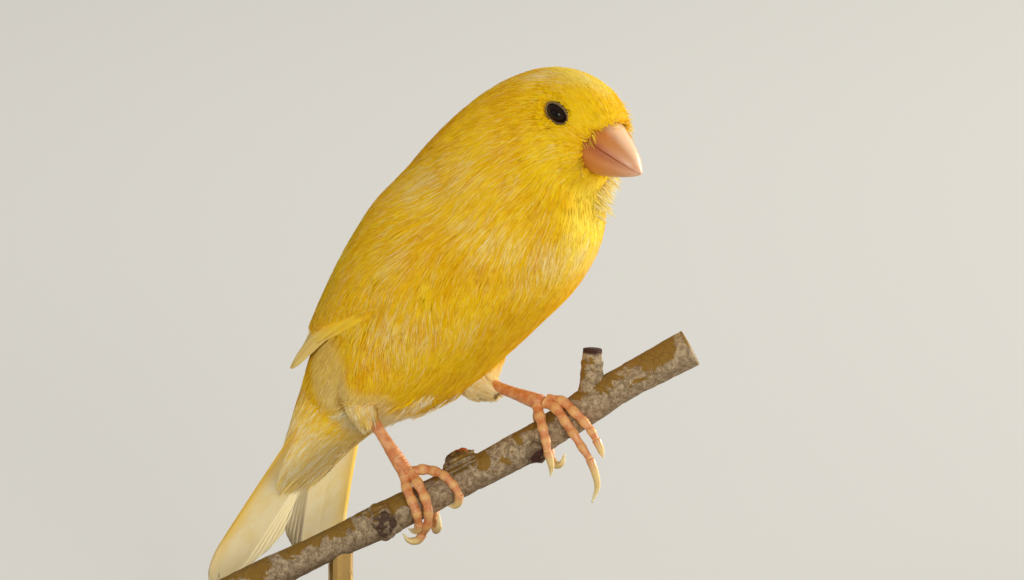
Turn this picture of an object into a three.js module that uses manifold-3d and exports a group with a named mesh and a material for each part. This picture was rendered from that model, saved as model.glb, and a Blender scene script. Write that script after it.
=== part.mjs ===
// A perched yellow canary, life size, on a short cut length of twig held by a small display stand.
// Millimetres, +Z up. The bird's body faces +X and is alike on both sides of the plane Y = 0, so its
// right side is on -Y. The origin is the centre of the stand's underside.
import * as THREE from "three";
import { mergeVertices } from "three/addons/utils/BufferGeometryUtils.js";
import Module from "manifold-3d";

const wasm = await Module();
wasm.setup();

// Driving dimensions
const gap = 0.3; // between pieces that meet
const bodySides = 24;
const stepsPerStation = 2;

const eye = { radius: 2.9, x: 38.8, side: 6.2, z: 110.8, faces: 14, lidRadius: 1.95, lidThickness: 0.4 };
const bill = {
  tip: [52.8, 99.65],
  gapeBack: [45.3, 105.4],
  nostril: [47.6, 3.2, 106.9],
  nostrilRadius: 0.42,
};
const feather = { thickness: 0.55, edgeShare: 0.8, tipShare: 0.45 };
const tail = {
  root: [-19.5, 50.0],
  slope: 61,
  lengths: { right: 44, left: 41 },
  forkDepth: 9,
  halfFeathers: 6,
  spread: 15.5,
  roll: 4,
};
const leg = { heelRadius: 1.75, shankRadius: 1.22, footRadius: 1.5, toeRadius: 1.02, clawRadius: 0.72 };
const perch = { radius: 3.2, sides: 14, stubAt: 0.792, stubRadius: 2.1, stubHeight: 7.5 };
const stand = { baseRadius: 46, baseHeight: 7, bevel: 1.2, rodRadius: 2.4, rodAt: 0.2 };

const colours = {
  plumage: 0xe8b21c,
  palePlumage: 0xe9d9a4,
  horn: 0xe6a892,
  claw: 0xd9c084,
  skin: 0xdc8a5c,
  eye: 0x140c08,
  bark: 0x8d8072,
  base: 0x2b2624,
  rod: 0xa89060,
};

// Stations of the body from the face to the tail's root: the back's and the belly's line in the
// plane Y = 0, and half the body's width there
const bodyStations = {
  facePole: { back: [47.6, 105.9], belly: [46.0, 101.6], half: 2.6 },
  face: { back: [47.7, 109.0], belly: [43.0, 98.6], half: 5.0 },
  brow: { back: [46.1, 112.6], belly: [41.2, 96.6], half: 7.2 },
  eyes: { back: [42.2, 116.0], belly: [40.2, 95.0], half: 9.1 },
  crown: { back: [36.4, 118.1], belly: [39.8, 93.5], half: 10.0 },
  cheek: { back: [29.4, 118.0], belly: [39.8, 91.8], half: 10.9 },
  nape: { back: [21.2, 115.1], belly: [40.2, 89.8], half: 12.4 },
  collar: { back: [13.2, 109.9], belly: [40.4, 87.5], half: 14.6 },
  neck: { back: [5.4, 102.9], belly: [39.6, 84.4], half: 17.0 },
  shoulder: { back: [-1.2, 95.4], belly: [37.2, 79.8], half: 18.6 },
  breast: { back: [-7.2, 88.0], belly: [32.6, 74.0], half: 19.2 },
  keel: { back: [-12.2, 80.4], belly: [25.8, 68.0], half: 18.9 },
  flank: { back: [-16.2, 73.0], belly: [17.4, 60.9], half: 17.8 },
  belly: { back: [-19.6, 66.6], belly: [8.2, 53.8], half: 15.8 },
  thigh: { back: [-22.6, 61.2], belly: [-1.0, 48.9], half: 12.8 },
  vent: { back: [-24.8, 56.8], belly: [-9.4, 45.6], half: 9.8 },
  tailRoot: { back: [-26.8, 52.0], belly: [-15.4, 43.0], half: 7.6 },
  coverts: { back: [-28.8, 47.2], belly: [-20.8, 38.8], half: 5.6 },
  tailPole: { back: [-29.6, 42.6], belly: [-25.8, 36.8], half: 3.0 },
};
const stationNames = Object.keys(bodyStations);
const at = (name) => stationNames.indexOf(name);

// Smooth curves through points, through places in the plane Y = 0 and through plain numbers
const smooth = (points, kind = "catmullrom") => new THREE.CatmullRomCurve3(points, false, kind, 0.5);
const smoothLine = (places) => smooth(places.map(([x, z]) => new THREE.Vector3(x, 0, z)));
const smoothRun = (numbers) => smooth(numbers.map((number) => new THREE.Vector3(number, 0, 0)));

// The body is two guide lines and a width that share one run of stations
const guide = (key) => stationNames.map((name) => bodyStations[name][key]);
const backLine = smoothLine(guide("back"));
const bellyLine = smoothLine(guide("belly"));
const halfWidth = smoothRun(guide("half"));
const lastStation = stationNames.length - 1;

// A point on the body: station counts from the face, angle turns from the back (0) by way of the
// bird's right side (90) to the belly (180)
function surfacePoint(station, angle) {
  const share = THREE.MathUtils.clamp(station / lastStation, 0, 1);
  const back = backLine.getPoint(share);
  const belly = bellyLine.getPoint(share);
  const half = halfWidth.getPoint(share).x;
  const turn = THREE.MathUtils.degToRad(angle);
  const point = back.clone().add(belly).multiplyScalar(0.5);
  point.addScaledVector(back.clone().sub(belly), 0.5 * Math.cos(turn));
  point.y -= half * Math.sin(turn);
  return point;
}

function surfaceNormal(station, angle) {
  const step = 0.02;
  const before = Math.max(0.01, station - step);
  const after = Math.min(lastStation - 0.01, station + step);
  const along = surfacePoint(after, angle).sub(surfacePoint(before, angle));
  const round = surfacePoint(station, angle + 1).sub(surfacePoint(station, angle - 1));
  return along.cross(round).normalize();
}

const liftedPoint = (station, angle, lift) =>
  surfacePoint(station, angle).addScaledVector(surfaceNormal(station, angle), lift);

// Closed bodies from rings of points, with each end closed by a fan to its middle
function solidOf(vertices, triangles) {
  const geometry = new THREE.BufferGeometry();
  const numbers = vertices.flatMap((v) => [v.x, v.y, v.z]);
  geometry.setAttribute("position", new THREE.Float32BufferAttribute(numbers, 3));
  geometry.setIndex(triangles);
  return solidFrom(geometry);
}

function solidFrom(geometry) {
  const bare = geometry.clone();
  bare.deleteAttribute("normal");
  bare.deleteAttribute("uv");
  const merged = mergeVertices(bare, 1e-4);
  const vertProperties = merged.attributes.position.array;
  const build = (index) =>
    new wasm.Manifold(new wasm.Mesh({ numProp: 3, vertProperties, triVerts: new Uint32Array(index) }));
  const index = Array.from(merged.index.array);
  const made = build(index);
  return made.volume() < 0 ? build(index.reverse()) : made;
}

function skinRings(rings) {
  const sides = rings[0].length;
  const vertices = rings.flat();
  const triangles = [];
  for (let ring = 0; ring < rings.length - 1; ring++) {
    for (let side = 0; side < sides; side++) {
      const next = (side + 1) % sides;
      const [a, b] = [ring * sides + side, ring * sides + next];
      const [c, d] = [a + sides, b + sides];
      triangles.push(a, b, c, b, d, c);
    }
  }
  for (const [ring, turned] of [[0, true], [rings.length - 1, false]]) {
    const middle = new THREE.Vector3();
    rings[ring].forEach((point) => middle.addScaledVector(point, 1 / sides));
    vertices.push(middle);
    const centre = vertices.length - 1;
    for (let side = 0; side < sides; side++) {
      const [a, b] = [ring * sides + side, ring * sides + ((side + 1) % sides)];
      triangles.push(...(turned ? [centre, b, a] : [centre, a, b]));
    }
  }
  return solidOf(vertices, triangles);
}

function joined(pieces) {
  return pieces.reduce((whole, piece) => whole.add(piece));
}

// A node is its largest closed surface, so that a fused seam leaves no scrap or sealed hollow
function largest(body) {
  const parts = body.simplify(0.02).decompose();
  return parts.reduce((best, part) => (part.volume() > best.volume() ? part : best));
}

// The body in one piece, grown outwards where it is the tool that cuts what lies on it
function bodySolid(grow) {
  const rings = [];
  const count = lastStation * stepsPerStation;
  for (let ring = 0; ring <= count; ring++) {
    const station = ring / stepsPerStation;
    const points = [];
    for (let side = 0; side < bodySides; side++) {
      const angle = (360 * side) / bodySides;
      points.push(grow ? liftedPoint(station, angle, grow) : surfacePoint(station, angle));
    }
    rings.push(points);
  }
  return skinRings(rings);
}

// Everything of the body on one side of a station's plane, half a gap short of it
function cutAt(body, name, offset, keepFront) {
  const share = (at(name) + offset) / lastStation;
  const back = backLine.getPoint(share);
  const belly = bellyLine.getPoint(share);
  const across = back.clone().sub(belly).normalize();
  const forward = new THREE.Vector3(across.z, 0, -across.x);
  const level = forward.dot(back);
  return keepFront
    ? body.trimByPlane([forward.x, 0, forward.z], level + gap / 2)
    : body.trimByPlane([-forward.x, 0, -forward.z], -level + gap / 2);
}

// A round limb along a curve, with a radius for each of its points
function limb(points, radii, sides, steps) {
  const curve = smooth(points.map((p) => new THREE.Vector3(...p)), "centripetal");
  const thickness = smoothRun(radii);
  const rings = [];
  const start = Math.abs(curve.getTangent(0).x) < 0.8 ? [1, 0, 0] : [0, 1, 0];
  const normal = new THREE.Vector3(...start);
  for (let step = 0; step <= steps; step++) {
    const share = step / steps;
    const centre = curve.getPoint(share);
    const tangent = curve.getTangent(share);
    normal.addScaledVector(tangent, -normal.dot(tangent)).normalize();
    const other = tangent.clone().cross(normal);
    rings.push(circle(centre, normal, other, thickness.getPoint(share).x, sides));
  }
  return skinRings(rings);
}

function circle(centre, across, up, radius, sides) {
  const ring = [];
  for (let side = 0; side < sides; side++) {
    const turn = (2 * Math.PI * side) / sides;
    const point = centre.clone().addScaledVector(across, radius * Math.cos(turn));
    ring.push(point.addScaledVector(up, radius * Math.sin(turn)));
  }
  return ring;
}

function ball(centre, radius, detail) {
  const geometry = new THREE.IcosahedronGeometry(radius, detail);
  geometry.translate(...centre);
  return solidFrom(geometry);
}

// One feather as a thin closed blade: its midrib runs along line, lifted sideways by tilt so that
// neighbours overlap like shingles
function vane({ line, normals, width, tilt = 0, camber = 0.02, ...form }) {
  const { thickness = feather.thickness, tipWidth = 0.3, blunt = 0.8 } = form;
  const rings = [];
  const last = line.length - 1;
  line.forEach((centre, i) => {
    const share = i / last;
    const along = line[Math.min(last, i + 1)].clone().sub(line[Math.max(0, i - 1)]).normalize();
    const up = normals[i].clone().addScaledVector(along, -normals[i].dot(along)).normalize();
    const side = along.clone().cross(up);
    const half = 0.5 * width * vaneShare(share, tipWidth, blunt);
    const thick = 0.5 * thickness * (share > 0.95 ? feather.tipShare : 1);
    const spot = (x, face) => {
      const rise = face * thick * (x === 0 ? 1 : feather.edgeShare);
      return centre.clone().addScaledVector(side, x).addScaledVector(up, tilt * x - camber * x * x + rise);
    };
    rings.push([spot(-half, 1), spot(0, 1), spot(half, 1), spot(half, -1), spot(0, -1), spot(-half, -1)]);
  });
  return bladeFrom(rings);
}

// How wide the feather is, as a share of its full width, from root to tip
function vaneShare(share, tipWidth, blunt) {
  const rootEase = Math.min(1, 0.55 + share * 1.6);
  if (share < blunt) return rootEase;
  const past = (share - blunt) / (1 - blunt);
  return rootEase * Math.sqrt(Math.max(0, 1 - past ** 2 * (1 - tipWidth ** 2)));
}

// The blade's faces, split alike above and below
function bladeFrom(rings) {
  const triangles = [];
  const quad = (a, b, c, d) => triangles.push(a, b, c, a, c, d);
  for (let i = 0; i < rings.length - 1; i++) {
    const [p, q] = [i * 6, i * 6 + 6];
    quad(p, p + 1, q + 1, q);
    quad(p + 1, p + 2, q + 2, q + 1);
    quad(p + 2, p + 3, q + 3, q + 2);
    triangles.push(p + 4, q + 4, q + 3, p + 4, q + 3, p + 3);
    triangles.push(p + 5, q + 5, q + 4, p + 5, q + 4, p + 4);
    quad(p + 5, p, q, q + 5);
  }
  const end = (rings.length - 1) * 6;
  triangles.push(0, 5, 4, 0, 4, 1, 1, 4, 3, 1, 3, 2);
  triangles.push(end, end + 1, end + 4, end, end + 4, end + 5);
  triangles.push(end + 1, end + 2, end + 3, end + 1, end + 3, end + 4);
  return solidOf(rings.flat(), triangles);
}

// A feather that lies along the body from one place on it to another
function bodyFeather({ from, to, lift, width, steps = 5, ...rest }) {
  const line = [];
  const normals = [];
  for (let i = 0; i <= steps; i++) {
    const share = i / steps;
    const station = THREE.MathUtils.lerp(from[0], to[0], share);
    const angle = THREE.MathUtils.lerp(from[1], to[1], share);
    line.push(liftedPoint(station, angle, THREE.MathUtils.lerp(lift[0], lift[1], share)));
    normals.push(surfaceNormal(station, angle));
  }
  return vane({ line, normals, width, ...rest });
}

const body = bodySolid(0);
const grownBody = bodySolid(gap);

const nodes = [];
const addNode = (name, form, colour, roughness = 0.8) => nodes.push({ name, form, colour, roughness });

// Eyes, in sockets ringed by the lids
const sides = { right: -1, left: 1 };
const eyeCentre = (side) => [eye.x, side * eye.side, eye.z];

function lidRing(side) {
  const geometry = new THREE.TorusGeometry(eye.lidRadius, eye.lidThickness, 6, 18);
  const facing = THREE.MathUtils.degToRad(eye.faces);
  const outward = new THREE.Vector3(Math.sin(facing), side * Math.cos(facing), 0);
  geometry.applyQuaternion(new THREE.Quaternion().setFromUnitVectors(new THREE.Vector3(0, 0, 1), outward));
  const rise = Math.sqrt(eye.radius ** 2 - (eye.lidRadius - 0.1) ** 2) + 0.25;
  const [x, y, z] = eyeCentre(side);
  geometry.translate(x + outward.x * rise, y + outward.y * rise, z);
  return solidFrom(geometry);
}

function buildHead() {
  let head = cutAt(body, "nape", 0.6, true);
  head = joined([head, lidRing(sides.right), lidRing(sides.left)]);
  Object.values(sides).forEach((side) => {
    head = head.subtract(ball(eyeCentre(side), eye.radius + gap, 2));
  });
  return head;
}

// The bill, parted along the line of the mouth
const billStations = [
  { culmen: [44.0, 111.6], gonys: [39.6, 99.6], half: 6.7 },
  { culmen: [47.2, 108.7], gonys: [43.4, 98.7], half: 5.5 },
  { culmen: [50.0, 105.6], gonys: [46.8, 98.55], half: 3.75 },
  { culmen: [51.9, 102.9], gonys: [49.8, 98.8], half: 2.25 },
  { culmen: [52.6, 100.9], gonys: [51.8, 99.15], half: 1.05 },
  { culmen: [52.95, 99.9], gonys: [52.7, 99.45], half: 0.32 },
];

function billSolid() {
  const lines = ["culmen", "gonys"].map((key) => smoothLine(billStations.map((s) => s[key])));
  const widths = smoothRun(billStations.map((s) => s.half));
  const rings = [];
  const steps = 12;
  for (let i = 0; i <= steps; i++) {
    const [top, low] = lines.map((line) => line.getPoint(i / steps));
    const half = widths.getPoint(i / steps).x;
    const middle = top.clone().add(low).multiplyScalar(0.5);
    const ring = [];
    for (let side = 0; side < 16; side++) {
      const turn = (2 * Math.PI * side) / 16;
      const point = middle.clone().addScaledVector(top.clone().sub(low), 0.5 * Math.cos(turn));
      point.y += half * Math.sin(turn);
      ring.push(point);
    }
    rings.push(ring);
  }
  return skinRings(rings);
}

function buildBill(upper) {
  const [tipX, tipZ] = bill.tip;
  const [backX, backZ] = bill.gapeBack;
  const length = Math.hypot(tipX - backX, tipZ - backZ);
  const [nx, nz] = [(backZ - tipZ) / length, (tipX - backX) / length];
  const level = nx * tipX + nz * tipZ;
  let form = billSolid().subtract(grownBody);
  if (!upper) return form.trimByPlane([-nx, 0, -nz], -level + gap / 2);
  form = form.trimByPlane([nx, 0, nz], level + gap / 2);
  Object.values(sides).forEach((side) => {
    const [x, y, z] = bill.nostril;
    form = form.subtract(ball([x, side * y, z], bill.nostrilRadius, 1));
  });
  return form;
}

// Wings: a core over the shoulder and back that carries the feathers in tiers
const wingFolds = {
  top: (share) => THREE.MathUtils.lerp(26, 18, share),
  low: (share) => THREE.MathUtils.lerp(96, 66, share * share),
  front: at("neck") + 0.55,
  back: at("belly") + 0.2,
};

function wingCore(side) {
  const across = 5;
  const along = 6;
  const lifted = (i, j, low) => {
    const share = i / along;
    const station = THREE.MathUtils.lerp(wingFolds.front, wingFolds.back, share);
    const angle = THREE.MathUtils.lerp(wingFolds.top(share), wingFolds.low(share), j / across);
    const ends = Math.min(1, 0.35 + share * 4, 0.3 + (1 - share) * 2.2);
    const dome = ends * Math.sqrt(Math.sin((Math.PI * (j + 0.35)) / (across + 0.7)));
    const point = liftedPoint(station, angle, low ? -1.2 : 0.15 + 1.1 * dome);
    if (side > 0) point.y *= -1;
    return point;
  };
  const vertices = [];
  const triangles = [];
  const place = (i, j, low) => (low ? (along + 1) * (across + 1) : 0) + i * (across + 1) + j;
  for (const low of [false, true]) {
    for (let i = 0; i <= along; i++) {
      for (let j = 0; j <= across; j++) vertices.push(lifted(i, j, low));
    }
  }
  const quad = (a, b, c, d) => triangles.push(a, b, c, a, c, d);
  for (let i = 0; i < along; i++) {
    for (let j = 0; j < across; j++) {
      quad(place(i, j), place(i, j + 1), place(i + 1, j + 1), place(i + 1, j));
      quad(place(i, j, true), place(i + 1, j, true), place(i + 1, j + 1, true), place(i, j + 1, true));
    }
  }
  for (let i = 0; i < along; i++) {
    quad(place(i, 0), place(i + 1, 0), place(i + 1, 0, true), place(i, 0, true));
    quad(place(i, across, true), place(i + 1, across, true), place(i + 1, across), place(i, across));
  }
  for (let j = 0; j < across; j++) {
    quad(place(0, j, true), place(0, j + 1, true), place(0, j + 1), place(0, j));
    quad(place(along, j), place(along, j + 1), place(along, j + 1, true), place(along, j, true));
  }
  return solidOf(vertices, triangles);
}

// Each tier: how many feathers, where its first and last one start and end, how high they lie
const wingTiers = {
  primaries: {
    count: 6,
    from: [[at("keel") + 0.2, 80], [at("keel") + 0.6, 86]],
    to: [[at("thigh") + 0.75, 36], [at("vent") + 0.55, 45]],
    lift: [0.8, 1.0],
    width: 5.4,
    steps: 5,
    tipWidth: 0.25,
    blunt: 0.62,
  },
  secondaries: {
    count: 6,
    from: [[at("breast") + 0.6, 36], [at("keel") + 0.3, 76]],
    to: [[at("belly") + 0.75, 24], [at("thigh") + 0.45, 50]],
    lift: [1.0, 1.6],
    width: 6.2,
    steps: 4,
    tipWidth: 0.45,
    blunt: 0.75,
  },
  greaterCoverts: {
    count: 7,
    from: [[at("shoulder") + 0.7, 38], [at("breast") + 0.8, 88]],
    to: [[at("flank") + 0.1, 33], [at("flank") + 0.25, 80]],
    lift: [1.1, 2.0],
    width: 6.4,
    steps: 3,
    tipWidth: 0.5,
    blunt: 0.6,
  },
  medianCoverts: {
    count: 6,
    from: [[at("neck") + 0.9, 42], [at("shoulder") + 0.7, 88]],
    to: [[at("breast") + 0.45, 40], [at("breast") + 0.75, 85]],
    lift: [1.1, 2.2],
    width: 6.6,
    steps: 2,
    tipWidth: 0.55,
    blunt: 0.5,
  },
  scapulars: {
    count: 4,
    from: [[at("neck") + 0.6, 24], [at("shoulder") + 0.7, 38]],
    to: [[at("keel") + 0.1, 16], [at("keel") + 0.7, 32]],
    lift: [0.9, 2.2],
    width: 6.6,
    steps: 3,
    tipWidth: 0.55,
    blunt: 0.5,
  },
};

function tierFeathers(tier, side, grow) {
  const feathers = [];
  for (let i = 0; i < tier.count; i++) {
    const share = tier.count > 1 ? i / (tier.count - 1) : 0;
    const between = (pair) => pair[0].map((value, k) => THREE.MathUtils.lerp(value, pair[1][k], share));
    const mirror = (place) => [place[0], side > 0 ? -place[1] : place[1]];
    feathers.push(
      bodyFeather({
        from: mirror(between(tier.from)),
        to: mirror(between(tier.to)),
        lift: tier.lift,
        width: tier.width + 2 * grow,
        steps: tier.steps,
        tipWidth: tier.tipWidth,
        blunt: tier.blunt,
        tilt: -side * 0.16,
        thickness: feather.thickness + 2 * grow,
      }),
    );
  }
  return feathers;
}

function buildWing(side, grow = 0) {
  const feathers = Object.values(wingTiers).flatMap((tier) => tierFeathers(tier, side, grow));
  return joined([wingCore(side), ...feathers]).subtract(grownBody);
}

// The tail: each half a fan of feathers from a core under the coverts
function tailFrame() {
  const slope = THREE.MathUtils.degToRad(tail.slope);
  const roll = THREE.MathUtils.degToRad(tail.roll);
  const down = new THREE.Vector3(-Math.cos(slope), 0, -Math.sin(slope));
  const lateral = new THREE.Vector3(0, 1, 0).applyAxisAngle(down, roll);
  const up = lateral.clone().cross(down).normalize();
  return { root: new THREE.Vector3(tail.root[0], 0, tail.root[1]), down, lateral, up };
}

function buildTailHalf(side) {
  const { root, down, lateral, up } = tailFrame();
  const feathers = [];
  for (let i = 0; i < tail.halfFeathers; i++) {
    const share = i / (tail.halfFeathers - 1);
    const fan = THREE.MathUtils.degToRad(THREE.MathUtils.lerp(4.5, tail.spread, share)) * side;
    const out = side * THREE.MathUtils.lerp(1.1, 3.4, share);
    const longest = side < 0 ? tail.lengths.right : tail.lengths.left;
    const length = longest - tail.forkDepth * (1 - share) ** 1.3;
    const heading = down.clone().multiplyScalar(Math.cos(fan)).addScaledVector(lateral, Math.sin(fan));
    const line = [];
    const normals = [];
    const steps = 6;
    for (let k = 0; k <= steps; k++) {
      const run = (k / steps) * (length + 4) - 4;
      const bow = 0.0011 * run * run * side;
      line.push(
        root
          .clone()
          .addScaledVector(lateral, out + bow * share)
          .addScaledVector(heading, run)
          .addScaledVector(up, (0.5 - share) * 1.1 - 0.0009 * run * run),
      );
      normals.push(up.clone());
    }
    const form = { width: 7.2, tilt: side * 0.13, camber: 0.006, tipWidth: 0.35, blunt: 0.78 };
    feathers.push(vane({ line, normals, ...form }));
  }
  const shaft = [
    [0, -3.5, 2.3],
    [1.0, 6, 2.1],
    [1.6, 13, 1.3],
    [2.0, 18, 0.6],
  ].map(([out, run, thick]) => ({
    centre: root.clone().addScaledVector(lateral, side * (1.9 + out)).addScaledVector(down, run),
    thick,
  }));
  const core = limb(
    shaft.map((s) => s.centre.toArray()),
    shaft.map((s) => s.thick),
    10,
    6,
  );
  const middle = lateral.clone().multiplyScalar(side);
  const level = middle.dot(root) + gap / 2;
  return joined([core, ...feathers])
    .subtract(grownBody)
    .trimByPlane([middle.x, middle.y, middle.z], level);
}

// The perch: a cut length of twig with a broken stub and bud knots
const perchPoints = [
  [-25.7, -29.3, 14.5],
  [-9.9, -17.3, 24.1],
  [2.0, -8.4, 31.3],
  [17.2, 3.0, 41.2],
  [24.4, 8.5, 46.5],
  [33.4, 15.2, 54.0],
  [46.2, 24.9, 63.0],
].map((p) => new THREE.Vector3(...p));
const perchCurve = smooth(perchPoints, "centripetal");

// Where a point of the foot is, from its place along the twig, above it and in front of it
function perchFrame(share) {
  const centre = perchCurve.getPoint(share);
  const along = perchCurve.getTangent(share).normalize();
  const front = along.clone().cross(new THREE.Vector3(0, 0, 1)).normalize();
  const up = front.clone().cross(along).normalize();
  return { centre, along, front, up };
}

function gripPoint(share, [along, down, front]) {
  const frame = perchFrame(share);
  return frame.centre
    .clone()
    .addScaledVector(frame.along, along)
    .addScaledVector(frame.up, -down)
    .addScaledVector(frame.front, front)
    .toArray();
}

function perchSolid(grow) {
  const steps = 14;
  const radii = [];
  const points = [];
  for (let i = 0; i <= steps; i++) {
    const share = i / steps;
    points.push(perchCurve.getPoint(share).toArray());
    radii.push(perch.radius * (0.98 + 0.05 * Math.sin(i * 1.9) + 0.12 * share * share) + grow);
  }
  return limb(points, radii, perch.sides, steps * 2);
}

function buildPerch() {
  const stubFoot = perchFrame(perch.stubAt);
  const stubUp = new THREE.Vector3(0.03, 0, 1).normalize();
  const rises = [0, perch.radius, perch.radius + perch.stubHeight * 0.6, perch.radius + perch.stubHeight];
  const stub = limb(
    rises.map((rise) => stubFoot.centre.clone().addScaledVector(stubUp, rise).toArray()),
    [1.5, 1.15, 1, 0.85].map((share) => perch.stubRadius * share),
    12,
    6,
  );
  const knots = [
    { share: 0.292, place: [0.4, 0.3, 2.3], radius: 2.1 },
    { share: 0.437, place: [0.4, -3.1, -0.9], radius: 2.1 },
    { share: 0.605, place: [0.4, 2.0, 1.6], radius: 2.4 },
  ].map((knot) => ball(gripPoint(knot.share, knot.place), knot.radius, 1));
  return joined([perchSolid(0), stub, ...knots]);
}

// Feet: toes as runs of points about the twig, each with its claw
const feet = {
  right: {
    grip: 0.36,
    heel: [-6.4, -11.2, 52.9],
    knee: [-1.0, -11.8, 61.5],
    pad: [0.8, -6.5, 1.0],
    toes: {
      inner: [
        [1.8, -6.0, 1.0], [3.9, -5.5, 1.2], [5.9, -4.3, 2.2],
        [7.3, -2.8, 3.6], [8.1, -0.6, 4.6], [8.2, 1.6, 4.5],
      ],
      middle: [
        [1.6, -6.0, 1.3], [2.0, -3.8, 3.0], [2.1, -0.8, 4.6],
        [1.4, 2.0, 4.6], [-0.1, 4.3, 3.2], [-1.7, 5.6, 1.6],
      ],
      outer: [
        [0.3, -5.9, 1.2], [-0.3, -3.9, 2.9], [-0.4, -1.5, 4.5],
        [-0.7, 1.1, 4.6], [-1.3, 3.2, 3.6],
      ],
      hind: [
        [1.2, -5.7, -0.6], [1.6, -3.4, -2.9], [1.9, 0.0, -4.4],
        [2.0, 3.2, -3.3], [1.2, 5.0, -1.0],
      ],
    },
    claws: {
      inner: [[7.5, 2.8, 4.0], [6.4, 3.3, 3.2], [5.3, 2.9, 2.4]],
      middle: [[-3.2, 6.3, 1.2], [-4.6, 5.6, 1.4], [-5.0, 3.8, 2.4]],
      outer: [[-2.0, 4.2, 2.8], [-2.9, 4.3, 1.9], [-3.7, 3.6, 1.3]],
      hind: [[0.9, 6.2, 0.8], [1.9, 5.5, 2.9], [3.1, 3.0, 4.4]],
    },
  },
  left: {
    grip: 0.62,
    heel: [6.6, 9.9, 54.9],
    knee: [5.5, 11.4, 63.0],
    pad: [4.7, -6.0, 1.0],
    toes: {
      outer: [[3.9, -5.6, 1.3], [3.4, -3.8, 2.9], [2.8, -1.8, 4.4], [2.1, 0.4, 4.9], [1.2, 2.5, 4.9]],
      middle: [
        [5.6, -5.5, 1.6], [6.9, -3.6, 3.2], [7.2, -0.8, 4.8],
        [7.4, 1.8, 5.8], [7.5, 4.9, 6.5], [7.6, 7.6, 6.8],
      ],
      inner: [
        [6.4, -5.5, 0.8], [8.6, -4.1, 2.6], [9.6, -1.5, 4.6],
        [10.3, 1.1, 5.4], [10.6, 3.4, 5.9], [10.5, 5.1, 6.0],
      ],
      hind: [
        [4.0, -5.4, -0.8], [2.6, -3.0, -3.3], [1.7, 0.4, -4.5],
        [1.1, 3.6, -3.4], [0.7, 5.2, -1.2],
      ],
    },
    claws: {
      outer: [[0.9, 3.9, 4.8], [0.3, 5.5, 4.5], [-0.7, 6.9, 3.9]],
      middle: [[7.2, 9.9, 6.8], [6.1, 12.9, 6.2], [3.5, 15.3, 5.0]],
      inner: [[10.4, 6.5, 6.0], [10.1, 7.8, 5.6], [9.8, 9.0, 5.0]],
      hind: [[1.1, 6.2, 0.3], [2.2, 6.2, 1.8], [3.8, 4.8, 2.9]],
    },
  },
};

function toeSolid(foot, points) {
  const run = points.map((p) => gripPoint(foot.grip, p));
  const steps = (points.length - 1) * 2;
  const radii = run.map((_, i) => leg.toeRadius * (1 - 0.05 * i) * (i % 2 ? 1.1 : 0.98));
  return limb(run, radii, 8, steps);
}

function clawSolid(foot, toePoints, clawPoints, grow = 0) {
  const last = toePoints[toePoints.length - 1];
  const run = [last, ...clawPoints].map((p) => gripPoint(foot.grip, p));
  const share = [1, 0.86, 0.6, 0.26];
  return limb(
    run,
    share.map((s) => leg.clawRadius * s + grow),
    7,
    5,
  );
}

function shankSolid(foot) {
  const heel = foot.heel;
  const pad = gripPoint(foot.grip, foot.pad);
  const between = (share) => heel.map((value, k) => THREE.MathUtils.lerp(value, pad[k], share));
  const { heelRadius, shankRadius, footRadius } = leg;
  return limb(
    [heel, between(0.12), between(0.5), between(0.86), pad],
    [heelRadius * 0.7, shankRadius * 1.15, shankRadius, shankRadius * 1.08, footRadius * 0.95],
    10,
    10,
  );
}

const grownPerch = perchSolid(gap);

function buildFoot(name) {
  const foot = feet[name];
  const toes = Object.values(foot.toes).map((points) => toeSolid(foot, points));
  const pad = ball(gripPoint(foot.grip, foot.pad), leg.footRadius * 1.1, 2);
  const claws = Object.keys(foot.toes).map((toe) => clawTool(name, toe));
  const cut = ankleCut(name);
  let form = joined([shankSolid(foot), pad, ...toes]);
  form = form.trimByPlane(cut.normal, cut.level + gap / 2);
  form = form.subtract(grownPerch);
  claws.forEach((claw) => {
    form = form.subtract(claw);
  });
  return form;
}

// The shank is parted from the toes a little above the pad
function ankleCut(name) {
  const foot = feet[name];
  const pad = new THREE.Vector3(...gripPoint(foot.grip, foot.pad));
  const heel = new THREE.Vector3(...foot.heel);
  const down = pad.clone().sub(heel).normalize();
  const place = pad.clone().addScaledVector(down, -2.6);
  return { normal: down.toArray(), level: down.dot(place), turned: down.clone().negate().toArray() };
}

function buildShank(name) {
  const cut = ankleCut(name);
  return shankSolid(feet[name])
    .trimByPlane(cut.turned, -cut.level + gap / 2)
    .subtract(thighSolid(name, gap))
    .subtract(grownBody);
}

const clawTool = (name, toe) => clawSolid(feet[name], feet[name].toes[toe], feet[name].claws[toe], gap);

// Each claw starts a little inside its toe's end, which is cut back from it
function buildClaw(name, toe) {
  return clawSolid(feet[name], feet[name].toes[toe], feet[name].claws[toe]).subtract(grownPerch);
}

// The feathered thigh, from inside the flank down to the heel
function thighSolid(name, grow = 0) {
  const foot = feet[name];
  const heel = new THREE.Vector3(...foot.heel);
  const knee = new THREE.Vector3(...foot.knee);
  const down = heel.clone().sub(knee).normalize();
  const past = heel.clone().addScaledVector(down, 0.6);
  const middle = knee.clone().lerp(heel, 0.55);
  return limb(
    [knee.toArray(), middle.toArray(), heel.toArray(), past.toArray()],
    [5.8 + grow, 4.8 + grow, 2.6 + grow, 1.7 + grow],
    14,
    8,
  );
}

const buildThigh = (name) => thighSolid(name).subtract(grownBody).subtract(buildWing(sides[name], gap));

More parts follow.
